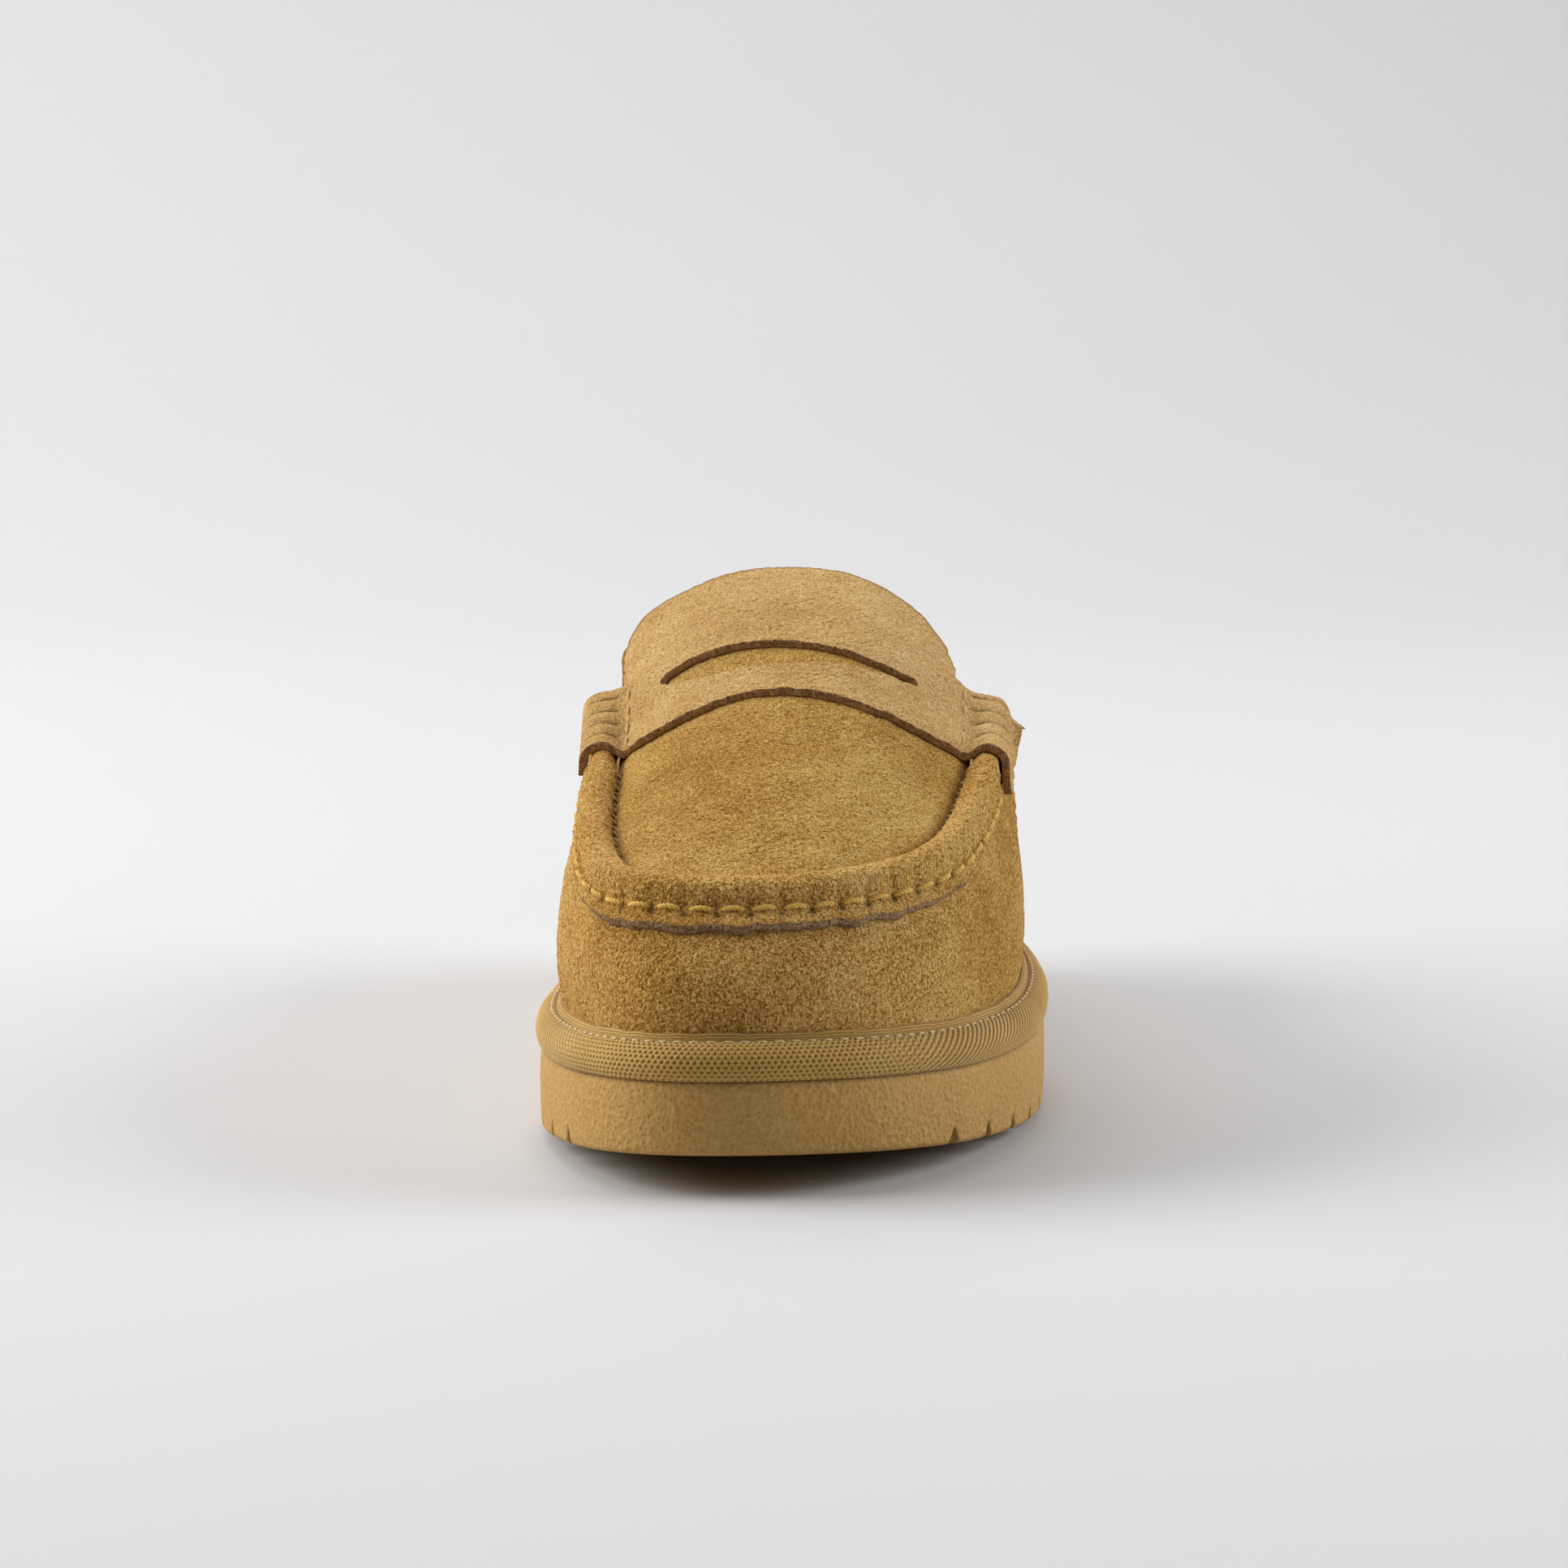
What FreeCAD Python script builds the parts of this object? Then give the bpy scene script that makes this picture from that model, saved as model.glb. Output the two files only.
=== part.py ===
# Left slip-on moccasin (penny-strap style) with a rolled moc seam, a cloth-covered platform
# and a moulded outsole.
# Millimetres. +Z up, toe towards -Y, heel towards +Y, lateral (outer) side towards +X.
# Shapes are worked out in (x, dist, z), where dist is the distance behind the toe tip;
# place() turns such a point into the model frame.
import FreeCAD, Part
import math
import os

Vector = FreeCAD.Vector

# ---------------------------------------------------------------- driving dimensions
LENGTH = 294.0            # outsole length
X_SHIFT = -1.0            # puts the bounding box centre on x = 0
Y_SHIFT = -LENGTH / 2.0   # puts the bounding box centre on y = 0
MEDIAL, LATERAL = -1, 1   # the sides, as the sign of x
CLEARANCE = 0.15          # gap between the layers of the upper

TOE_SPRING = 9.2          # lift of the outsole under the toe tip
TOE_SPRING_LEN = 115.0    # length over which the toe spring runs out
HEEL_BEVEL = 3.0          # lift of the outsole 30 mm behind the start of the heel bevel
HEEL_BEVEL_START = 264.0
GROOVE_FIRST = 30.0       # first tread groove behind the toe tip
GROOVE_PITCH = 15.0
GROOVE_COUNT = 17
GROOVE_W = 3.2
GROOVE_H = 3.4

FOAM_H = 6.2              # platform foam allowance above the outsole
SOCK_T = 1.2              # slip sock (insole board) thickness
FOOTBED_T = 6.0
COVER_T = 1.2             # footbed cover thickness
LIP_H = 9.2               # top of the woven platform cover above the outsole

SUEDE = 1.8               # upper leather thickness
LINING = 1.0              # wall lining thickness
STIFFENER_T = 0.8         # toe puff and heel counter thickness
STIFFENER_SPACE = 1.0     # room for the stiffeners between leather and lining
ROLL_R = 3.75             # outer radius of the rolled moc seam
ROLL_WALL = 1.5           # leather thickness in the roll
ROLL_GAP = 0.16           # gap between the roll's skirt and the wall
PINCH = 1.0               # radius lost where the strap ends squeeze roll and cord
CORD_R = 2.0              # filler cord radius
STITCH_PITCH = 6.2        # moc seam stitch pitch
STRAP_T = 1.8             # saddle strap thickness
STRAP_LIFT = 0.28         # gap between strap and apron
STRAP_EDGE_RISE = 0.06    # share by which that height grows towards the apron's edge
HINGE_DIST = 123.4        # tongue flex line

# Outsole outline and the matching seam / top line, as (x, dist). Both run from the heel
# centre along the medial side, round the toe and back along the lateral side.
SOLE_POINTS = [
    (1.5, 294), (-13, 292), (-27, 284), (-35.5, 268), (-38.8, 245), (-40.5, 218),
    (-42.3, 190), (-45.5, 162), (-49.6, 134), (-53.2, 106), (-55.2, 82), (-54.7, 62),
    (-52, 46), (-48, 31), (-42, 16.5), (-35, 7), (-25, 1.2), (-14, 0),
    (-2, 2.2), (9, 6.6), (19, 12.6), (28.2, 21.5), (36.6, 33), (43.4, 47),
    (48.6, 60.5), (52.8, 75.5), (56, 96), (57.2, 118), (56, 142), (52.6, 168),
    (49.2, 194), (46.6, 220), (44, 246), (39.5, 268), (30.5, 284), (16.5, 292)]
SEAM_POINTS = [
    (1.5, 287), (-10.5, 285), (-20.5, 277.5), (-27, 263.5), (-30.5, 243), (-33, 218),
    (-36, 191), (-40, 164), (-42.4, 137), (-42.0, 110), (-42.4, 88), (-43, 68),
    (-42.4, 53), (-40.5, 39.5), (-36, 28.5), (-30.5, 23), (-22.5, 19.4), (-13.5, 18.5),
    (-3, 20), (7, 23.6), (16, 28.5), (24, 35), (30.8, 44), (35.2, 54),
    (38.6, 65.5), (41.1, 78), (43.3, 96), (44.1, 116), (43.8, 140), (41.2, 167),
    (38.2, 194), (35.7, 219), (32.8, 244), (29, 264), (21.5, 278.5), (12, 285.5)]
TOE_INDEX = 17            # the toe point in both tables


# ---------------------------------------------------------------- splines
def solve_tridiagonal(lower, diagonal, upper, right):
    count = len(diagonal)
    diagonal, right = list(diagonal), list(right)
    for i in range(1, count):
        factor = lower[i] / diagonal[i - 1]
        diagonal[i] -= factor * upper[i - 1]
        right[i] -= factor * right[i - 1]
    result = [0.0] * count
    result[-1] = right[-1] / diagonal[-1]
    for i in range(count - 2, -1, -1):
        result[i] = (right[i] - upper[i] * result[i + 1]) / diagonal[i]
    return result


class Spline:
    """Natural cubic spline, carried on as a straight line beyond both ends."""

    def __init__(self, knots, values):
        self.knots, self.values = list(knots), list(values)
        count = len(knots)
        step = [knots[i + 1] - knots[i] for i in range(count - 1)]
        lower, diagonal, upper, right = [0.0] * count, [1.0] * count, [0.0] * count, [0.0] * count
        for i in range(1, count - 1):
            lower[i], diagonal[i], upper[i] = step[i - 1], 2 * (step[i - 1] + step[i]), step[i]
            right[i] = 6 * ((values[i + 1] - values[i]) / step[i]
                            - (values[i] - values[i - 1]) / step[i - 1])
        self.bend = solve_tridiagonal(lower, diagonal, upper, right)

    def __call__(self, at):
        knots, values, bend = self.knots, self.values, self.bend
        if at <= knots[0]:
            step = knots[1] - knots[0]
            slope = (values[1] - values[0]) / step - step * (2 * bend[0] + bend[1]) / 6
            return values[0] + slope * (at - knots[0])
        if at >= knots[-1]:
            step = knots[-1] - knots[-2]
            slope = (values[-1] - values[-2]) / step + step * (2 * bend[-1] + bend[-2]) / 6
            return values[-1] + slope * (at - knots[-1])
        low, high = 0, len(knots) - 1
        while high - low > 1:
            middle = (low + high) // 2
            if knots[middle] <= at:
                low = middle
            else:
                high = middle
        step = knots[high] - knots[low]
        before, after = (knots[high] - at) / step, (at - knots[low]) / step
        curved = (before ** 3 - before) * bend[low] + (after ** 3 - after) * bend[high]
        return before * values[low] + after * values[high] + curved * step * step / 6


class Loop:
    """Closed plan curve through points. turn runs once round it from 0 to 1."""

    def __init__(self, points, turns):
        count, overlap = len(points), 6
        order = list(range(count - overlap, count)) + list(range(count)) + list(range(overlap))
        knots = [turn - 1 for turn in turns[-overlap:]] + turns
        knots += [turn + 1 for turn in turns[:overlap]]
        self.x_spline = Spline(knots, [points[i][0] for i in order])
        self.dist_spline = Spline(knots, [points[i][1] for i in order])

    def __call__(self, turn):
        turn = turn % 1.0
        return self.x_spline(turn), self.dist_spline(turn)

    def outward(self, turn):
        """Unit plan vector pointing out of the loop."""
        delta = 1e-4
        (x0, dist0), (x1, dist1) = self(turn - delta), self(turn + delta)
        length = math.hypot(x1 - x0, dist1 - dist0)
        return (dist1 - dist0) / length, -(x1 - x0) / length


def chord_fractions(points, closed=False):
    """Share of the polyline's length reached at each point."""
    reached = [0.0]
    for start, end in zip(points, points[1:] + (points[:1] if closed else [])):
        reached.append(reached[-1] + math.dist(start, end))
    return [length / reached[-1] for length in reached][:len(points)]


SOLE_TURNS = chord_fractions(SOLE_POINTS, closed=True)
TOE_TURN = SOLE_TURNS[TOE_INDEX]
sole_loop = Loop(SOLE_POINTS, SOLE_TURNS)
seam_loop = Loop(SEAM_POINTS, SOLE_TURNS)

# ---------------------------------------------------------------- heights against dist
sole_top = Spline(
    [0, 12, 24, 36, 50, 65, 80, 110, 150, 200, 250, 294],
    [25.1, 24.0, 22.95, 22.1, 21.4, 21.0, 20.9, 21.3, 22.6, 24.4, 26.4, 28.2])
seam_height = Spline(
    [18.5, 28, 39.5, 55, 75, 95, 110, 124, 140, 160, 180, 200, 220, 240, 260, 275, 287],
    [61.5, 62.4, 64.5, 68.2, 73.8, 79.5, 83.9, 87.9, 87.0, 83, 80, 78.5, 79, 82, 86.5, 90, 92.5])
crown_height = Spline(
    [22, 30, 40, 52, 66, 88, 105, 122, 136, 150],
    [62.0, 66.0, 71.5, 77.8, 84.4, 94.0, 101.4, 108.4, 113.8, 118.0])


def sole_bottom(dist):
    if dist < TOE_SPRING_LEN:
        return TOE_SPRING * (1 - dist / TOE_SPRING_LEN) ** 1.6
    if dist > HEEL_BEVEL_START:
        return HEEL_BEVEL * ((dist - HEEL_BEVEL_START) / 30.0) ** 2
    return 0.0


def smooth(start, end, value):
    """Eased step from 0 at start to 1 at end."""
    share = min(1.0, max(0.0, (value - start) / (end - start)))
    return share * share * (3 - 2 * share)


def spaced(start, end, count):
    return [start + (end - start) * i / (count - 1) for i in range(count)]


# ---------------------------------------------------------------- points in (x, dist, z)
def place(point):
    return Vector(point[0] + X_SHIFT, point[1] + Y_SHIFT, point[2])


def subtract(end, start):
    return tuple(end[k] - start[k] for k in range(3))


def add(start, move, factor=1.0):
    return tuple(start[k] + move[k] * factor for k in range(3))


def unit_normal(first, second):
    """Unit vector along first x second."""
    normal = (first[1] * second[2] - first[2] * second[1],
              first[2] * second[0] - first[0] * second[2],
              first[0] * second[1] - first[1] * second[0])
    length = math.sqrt(sum(part ** 2 for part in normal))
    return tuple(part / length for part in normal)


def step_out(origin, outward, out, rise):
    """Point moved out along a plan vector and up."""
    return origin[0] + out * outward[0], origin[1] + out * outward[1], origin[2] + rise


def sole_frame(turn):
    """Point on the outsole's top edge and its outward direction."""
    x, dist = sole_loop(turn)
    return (x, dist, sole_top(dist)), sole_loop.outward(turn)


def seam_frame(turn):
    """Point on the seam / top line and its outward direction."""
    x, dist = seam_loop(turn)
    return (x, dist, seam_height(dist)), seam_loop.outward(turn)


def turn_at(curve, dist, side):
    """turn at which a closed curve reaches dist on the given side."""
    low, high = (1e-6, TOE_TURN) if side == MEDIAL else (TOE_TURN, 1 - 1e-6)
    for _ in range(50):
        middle = (low + high) / 2
        if (curve(middle)[1] > dist) == (side == MEDIAL):
            low = middle
        else:
            high = middle
    return (low + high) / 2


# ---------------------------------------------------------------- the wall of the upper
# turn runs round the shoe; level runs from 0 at the platform to 1 at the seam / top line.
def pinch(dist):
    """0 on the open roll, 1 where the strap ends squeeze it."""
    return smooth(86, 94, dist)


def roll_radius(dist):
    return ROLL_R - PINCH * pinch(dist)


def wall_base(turn):
    return step_out(*sole_frame(turn), -5.2, 6.6)


def wall_top(turn):
    """Tucked below the roll at the front, on the top line behind it."""
    centre, outward = seam_frame(turn)
    tuck = 1 - smooth(112, 136, centre[1])
    out = 0.4 + 1.8 * (tuck - 0.55 * pinch(centre[1]) * tuck)
    return step_out(centre, outward, out, -3.0 * tuck)


def wall(turn, level):
    """Point on the outer face of the wall."""
    base, top, outward = wall_base(turn), wall_top(turn), sole_loop.outward(turn)
    rear = smooth(215, 285, base[1])
    lateral_loss = 1.3 if base[0] > 0 else 0.0
    bulge = 3.0 - lateral_loss * smooth(30, 60, base[1]) * (1 - rear) + 2.2 * rear
    lean = level ** 2.2
    belly = bulge * 4.6 * level ** 1.25 * (1 - level) ** 1.4
    return (base[0] + (top[0] - base[0]) * lean + outward[0] * belly,
            base[1] + (top[1] - base[1]) * lean + outward[1] * belly,
            base[2] + (top[2] - base[2]) * level)


def wall_normal(turn, level):
    delta = 1e-3
    around = subtract(wall(turn + delta, level), wall(turn - delta, level))
    upward = subtract(wall(turn, min(1.0, level + delta)), wall(turn, max(0.0, level - delta)))
    normal = unit_normal(around, upward)
    outward = sole_loop.outward(turn)
    if normal[0] * outward[0] + normal[1] * outward[1] > 0:
        return normal
    return tuple(-part for part in normal)


def wall_offset(turn, level, offset):
    """Point at a distance off the wall, positive outwards."""
    return add(wall(turn, level), wall_normal(turn, level), offset)


def level_below_top(turn, drop):
    return 1 - drop / (wall_top(turn)[2] - wall_base(turn)[2])


# ---------------------------------------------------------------- the instep: apron and tongue
APRON_FRONT = 22.5        # the instep is flat across in front of this dist
CREASE_REAR = 122.0       # rear end of the crease between roll and apron
crease_cache = {}


def crease_lift(dist):
    """Height of the crease above the seam line."""
    return 0.7 + 3.0 * smooth(97, CREASE_REAR, dist)


def crease(turn, inset=4.0):
    """Point on the crease inside the roll."""
    centre, outward = seam_frame(turn)
    return step_out(centre, outward, -inset, crease_lift(centre[1]))


def crease_x(dist, side):
    """x of the crease, looked up in 0.1 mm steps of dist."""
    key = (min(round(dist, 1), CREASE_REAR), side)
    if key not in crease_cache:
        crease_cache[key] = crease(turn_at(crease, *key))[0]
    return crease_cache[key]


def instep(x, dist):
    """Height of the outer face of the apron and tongue."""
    if dist <= APRON_FRONT:
        return seam_height(dist) + crease_lift(dist)
    medial, lateral = crease_x(dist, MEDIAL), crease_x(dist, LATERAL)
    half = max((lateral - medial) / 2, 1.0)
    across = (x - (medial + lateral) / 2) / half
    edge_dist = min(dist, CREASE_REAR)
    edge = seam_height(edge_dist) + crease_lift(edge_dist) + (dist - edge_dist) * 0.42
    power = 2.0 + 0.5 * smooth(97, 120, dist)
    return edge + (crown_height(dist) - edge) * (1 - abs(across) ** power)


# ---------------------------------------------------------------- solids from point grids
def spline_poles(data):
    """Poles of the uniform cubic spline through the data with straight ends.

    There is one more pole at either end than there are data points.
    """
    inner = len(data) - 2
    columns = []
    for k in range(3):
        values = [point[k] for point in data]
        right = [6 * value for value in values[1:-1]]
        right[0] -= values[0]
        right[-1] -= values[-1]
        middle = solve_tridiagonal([0.0] + [1.0] * (inner - 1), [4.0] * inner,
                                   [1.0] * (inner - 1) + [0.0], right)
        poles = [values[0]] + middle + [values[-1]]
        columns.append([2 * poles[0] - poles[1]] + poles + [2 * poles[-1] - poles[-2]])
    return list(zip(*columns))


def surface(grid):
    """Smooth surface through a grid: u runs from row to row, v along a row."""
    rows = [spline_poles(row) for row in grid]
    columns = [spline_poles(column) for column in zip(*rows)]
    count_u, count_v = len(columns[0]), len(columns)
    poles = [[place(column[i]) for column in columns] for i in range(count_u)]
    knots_u = [float(k) for k in range(-3, count_u + 1)]
    knots_v = [float(k) for k in range(-3, count_v + 1)]
    result = Part.BSplineSurface()
    result.buildFromPolesMultsKnots(poles, [1] * len(knots_u), [1] * len(knots_v),
                                    knots_u, knots_v, False, False, 3, 3)
    result.segment(0.0, float(count_u - 3), 0.0, float(count_v - 3))
    return result


def sheet(outer_grid, inner_grid, closed=False, flat_ends=False):
    """Solid between two grids of the same size.

    closed: the first row meets the last, so there are no end faces.
    flat_ends: the end faces are planar instead of ruled.
    """
    outer, inner = surface(outer_grid), surface(inner_grid)
    faces = [outer.toShape(), inner.toShape()]
    outer_u0, outer_u1, outer_v0, outer_v1 = outer.bounds()
    inner_u0, inner_u1, inner_v0, inner_v1 = inner.bounds()
    end_pairs = [(outer.uIso(outer_u0), inner.uIso(inner_u0)),
                 (outer.uIso(outer_u1), inner.uIso(inner_u1))]
    ruled_pairs = [(outer.vIso(outer_v0), inner.vIso(inner_v0)),
                   (outer.vIso(outer_v1), inner.vIso(inner_v1))]
    if not closed and not flat_ends:
        ruled_pairs += end_pairs
    for first, second in ruled_pairs:
        faces.append(Part.makeRuledSurface(first.toShape(), second.toShape()))
    if flat_ends:
        for k, (first, second) in zip((0, -1), end_pairs):
            start_out, end_out = place(outer_grid[k][0]), place(outer_grid[k][-1])
            start_in, end_in = place(inner_grid[k][0]), place(inner_grid[k][-1])
            edges = [first.toShape(), Part.makeLine(end_out, end_in),
                     second.toShape(), Part.makeLine(start_in, start_out)]
            faces.append(Part.Face(Part.Wire(Part.__sortEdges__(edges))))
    # sew with a looser tolerance until the solid is closed and valid
    for tolerance in (1e-6, 1e-4, 1e-3, 1e-2):
        sewn = Part.makeShell(faces)
        sewn.sewShape(tolerance)
        shell = sewn.Shells[0] if sewn.Shells else sewn
        solid = Part.makeSolid(shell)
        if solid.isValid() and shell.isClosed():
            break
    if solid.Volume < 0:
        solid.reverse()
    return solid


def spline_edge(points):
    curve = Part.BSplineCurve()
    curve.interpolate(points)
    return curve.toShape()


# ---------------------------------------------------------------- outline prisms and side bands
SIDE_X = -80              # plane of the side view profiles
SIDE_WIDTH = 160
DIST_MIN, DIST_MAX = -12.0, 306.0   # ends of the profiles, beyond toe and heel


def outline_prism(offset):
    """Tall prism on the outsole outline, offset outwards."""
    count = 90
    points = []
    for k in range(count):
        (x, dist), (out_x, out_dist) = sole_loop(k / count), sole_loop.outward(k / count)
        points.append(place((x + offset * out_x, dist + offset * out_dist, -10)))
    curve = Part.BSplineCurve()
    curve.interpolate(Points=points, PeriodicFlag=True)
    return Part.Face(Part.Wire([curve.toShape()])).extrude(Vector(0, 0, 90))


def side_point(dist, z):
    return place((SIDE_X, dist, z))


def side_spline(points):
    return spline_edge([side_point(dist, z) for dist, z in points])


def side_band(lower_edges, front_z, rear_z, upper, stations):
    """Band above the lower edges and below a height function, across the whole width."""
    top = side_spline([(dist, upper(dist)) for dist in spaced(DIST_MIN, DIST_MAX, stations)])
    rear = Part.makeLine(side_point(DIST_MAX, rear_z), side_point(DIST_MAX, upper(DIST_MAX)))
    front = Part.makeLine(side_point(DIST_MIN, upper(DIST_MIN)), side_point(DIST_MIN, front_z))
    wire = Part.Wire(Part.__sortEdges__(lower_edges + [rear, top, front]))
    return Part.Face(wire).extrude(Vector(SIDE_WIDTH, 0, 0))


def above_sole(lift):
    """Height function parallel to the outsole's top, level beyond toe and heel."""
    return lambda dist: sole_top(min(max(dist, 0.0), LENGTH)) + lift


def slab(offset, low_lift, high_lift):
    """Layer inside the outline between two lifts above the outsole."""
    stations = 80
    low = above_sole(low_lift)
    bottom = side_spline([(dist, low(dist)) for dist in spaced(DIST_MIN, DIST_MAX, stations)])
    band = side_band([bottom], low(DIST_MIN), low(DIST_MAX), above_sole(high_lift), stations)
    return outline_prism(offset).common(band)


# ---------------------------------------------------------------- outsole and platform layers
def build_outsole():
    front_z = sole_bottom(0) + 2.6
    spring_dists = (0, 4, 8, 12, 18, 24, 32, 40, 50, 60, 70, 80, 90, 100, 108, TOE_SPRING_LEN)
    bevel_dists = (HEEL_BEVEL_START, 272, 280, 288, 296, DIST_MAX)
    lower_edges = [
        side_spline([(DIST_MIN, front_z)] + [(dist, sole_bottom(dist)) for dist in spring_dists]),
        Part.makeLine(side_point(TOE_SPRING_LEN, 0), side_point(HEEL_BEVEL_START, 0)),
        side_spline([(dist, sole_bottom(dist)) for dist in bevel_dists])]
    band = side_band(lower_edges, front_z, sole_bottom(DIST_MAX), above_sole(0), 60)
    outsole = outline_prism(0.0).common(band)
    for k in range(GROOVE_COUNT):
        outsole = outsole.cut(tread_groove(GROOVE_FIRST + GROOVE_PITCH * k))
    try:
        return outsole.removeSplitter()
    except Exception:
        # guards the merging of split faces: the unmerged outsole is used if it fails
        return outsole


def tread_groove(dist):
    """Pointed cutter across the bottom of the outsole."""
    z = sole_bottom(dist)
    front, rear = dist - GROOVE_W / 2, dist + GROOVE_W / 2
    corners = [(front, z - 3), (front, z), (dist, z + GROOVE_H), (rear, z), (rear, z - 3),
               (front, z - 3)]
    outline = Part.makePolygon([side_point(*corner) for corner in corners])
    return Part.Face(outline).extrude(Vector(SIDE_WIDTH, 0, 0))


SOCK_LOW = FOAM_H + 0.1
FOOTBED_LOW = SOCK_LOW + SOCK_T + 0.1
COVER_LOW = FOOTBED_LOW + FOOTBED_T + 0.05

# woven cover section, outer and inner face: (out from the outline, above the outsole)
TAPE_OUTER = [(-2.4, 1.15), (-0.45, 0.45), (0.8, 2.2), (0.7, 4.4), (-1.1, 6.75), (-3.0, 7.4),
              (-3.35, LIP_H)]
TAPE_INNER = [(-2.6, 1.95), (-0.9, 1.3), (0.0, 2.5), (-0.1, 4.2), (-1.6, 5.95), (-3.7, 6.6),
              (-4.15, LIP_H)]


def cover_ring(section):
    """Section carried round the outline, from a nearly straight part of it."""
    start_turn, count = 0.25, 72
    frames = [sole_frame(start_turn + (k % count) / count) for k in range(count + 1)]
    return [[step_out(*frame, out, rise) for out, rise in section] for frame in frames]


# ---------------------------------------------------------------- upper wall pieces
# (turn at the top line, turn at the outline) of the two slanting side seams
SEAM_TOP, SEAM_BOTTOM = 131.0, 158.0
SEAM_ENDS = {side: (turn_at(seam_loop, SEAM_TOP, side), turn_at(sole_loop, SEAM_BOTTOM, side))
             for side in (MEDIAL, LATERAL)}
BUTT = 0.0009             # margin at the seam edges of vamp and linings, in turn
QUARTER_BUTT = 0.0006     # margin at the quarters' edges, in turn
WALL_LEVELS = [0.0, 0.06, 0.13, 0.21, 0.3, 0.4, 0.5, 0.6, 0.7, 0.79, 0.87, 0.94, 1.0]
VAMP_LINING_LEVELS = [0.05, 0.1, 0.17, 0.26, 0.36, 0.47, 0.58, 0.69, 0.8, 0.9]
QUARTER_LINING_LEVELS = [0.05, 0.1, 0.17, 0.26, 0.36, 0.47, 0.58, 0.69, 0.79, 0.88, 0.965]
LEATHER_INSIDE = -(SUEDE + CLEARANCE)
LINING_OUTSIDE = LEATHER_INSIDE - STIFFENER_SPACE - CLEARANCE
HEEL_STRIP_GAP = 0.2
HEEL_STRIP_T = 1.35


def side_seam(side, level):
    top, bottom = SEAM_ENDS[side]
    return bottom + (top - bottom) * level


def medial_seam(level):
    return side_seam(MEDIAL, level)


def lateral_seam(level):
    return side_seam(LATERAL, level)


def heel_strip_half(level):
    """Half width of the heel strip, in turn; it narrows upwards."""
    return 0.0165 * (1.25 - 0.25 * level)


def wall_panel(start, end, margin, levels, outer, inner, stations):
    """Panel parallel to the wall; start and end give its edges as turn against level."""
    grids = ([], [])
    for share in spaced(0.0, 1.0, stations):
        turns = [start(level) + margin + (end(level) - start(level) - 2 * margin) * share
                 for level in levels]
        for grid, offset in zip(grids, (outer, inner)):
            grid.append([wall_offset(turn, level, offset) for turn, level in zip(turns, levels)])
    return sheet(*grids)


def leather_panel(start, end, margin):
    return wall_panel(start, end, margin, WALL_LEVELS, 0.0, -SUEDE, 76)


def lining_panel(start, end, levels, stations):
    return wall_panel(start, end, BUTT, levels, LINING_OUTSIDE, LINING_OUTSIDE - LINING, stations)


def stiffener(start_turn, end_turn, levels, gap, stations):
    """Stiffener held between leather and lining."""
    outer = LEATHER_INSIDE - gap
    return wall_panel(lambda level: start_turn, lambda level: end_turn, 0.0,
                      levels, outer, outer - STIFFENER_T, stations)


def build_heel_strip():
    """Strip over the back seam, outside the quarters."""
    return wall_panel(lambda level: -heel_strip_half(level), heel_strip_half, 0.0,
                      [0.3, 0.45, 0.6, 0.75, 0.88, 0.97],
                      HEEL_STRIP_T + HEEL_STRIP_GAP, HEEL_STRIP_GAP, 16)


# collar binding section, outer and inner face: (out from the wall's top, up)
BINDING_OUTER = [(-5.2, -4.2), (-5.15, -1.0), (-4.45, 0.95), (-2.1, 1.6), (0.1, 1.2)]
BINDING_INNER = [(-4.45, -4.2), (-4.45, -0.9), (-4.0, 0.3), (-2.1, 0.75), (0.05, 0.2)]
BINDING_DIST = 124.4


def build_collar_binding():
    """Folded tape capping the top edge, from the lateral throat round the heel."""
    start = turn_at(seam_loop, BINDING_DIST, LATERAL)
    end = 1 + turn_at(seam_loop, BINDING_DIST, MEDIAL)
    frames = [(wall(turn, 1.0), sole_loop.outward(turn)) for turn in spaced(start, end, 60)]
    return sheet(*[[[step_out(*frame, out, rise) for out, rise in section] for frame in frames]
                   for section in (BINDING_OUTER, BINDING_INNER)])


# ---------------------------------------------------------------- apron
THROAT_DIST = 121.6
FRONT_MEDIAL, FRONT_LATERAL = turn_at(seam_loop, 31.0, MEDIAL), turn_at(seam_loop, 35.0, LATERAL)
THROAT_MEDIAL = turn_at(seam_loop, THROAT_DIST, MEDIAL)
THROAT_LATERAL = turn_at(seam_loop, THROAT_DIST, LATERAL)


def apron_plan(across, along, inset):
    """(x, dist) in the apron: across medial to lateral, along toe to throat, both 0..1.

    Straight lines join the two sides; the front edge's curve fades out towards the throat.
    """
    def edge(start, end, share):
        return crease(start + (end - start) * share, inset)

    front = edge(FRONT_MEDIAL, FRONT_LATERAL, across)
    left, right = [(edge(start, end, along), crease(start, inset))
                   for start, end in ((FRONT_MEDIAL, THROAT_MEDIAL),
                                      (FRONT_LATERAL, THROAT_LATERAL))]
    return tuple((1 - across) * left[0][k] + across * right[0][k]
                 + (1 - along) * (front[k] - (1 - across) * left[1][k] - across * right[1][k])
                 for k in range(2))


def apron_grid(inset, rise):
    rows = []
    for share in spaced(0, 1, 22):
        plan = [apron_plan(across, share ** 1.15, inset) for across in spaced(0, 1, 27)]
        rows.append([(x, dist, instep(x, dist) + rise) for x, dist in plan])
    return rows


# ---------------------------------------------------------------- rolled seam and filler cord
def throat_turn(share):
    """turn from the medial throat end round the toe to the lateral one."""
    return THROAT_MEDIAL + (THROAT_LATERAL - THROAT_MEDIAL) * share


def arc_point(centre, outward, radius, angle):
    """Point at an angle in radians, counted up from the outward direction."""
    return step_out(centre, outward, radius * math.cos(angle), radius * math.sin(angle))


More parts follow.
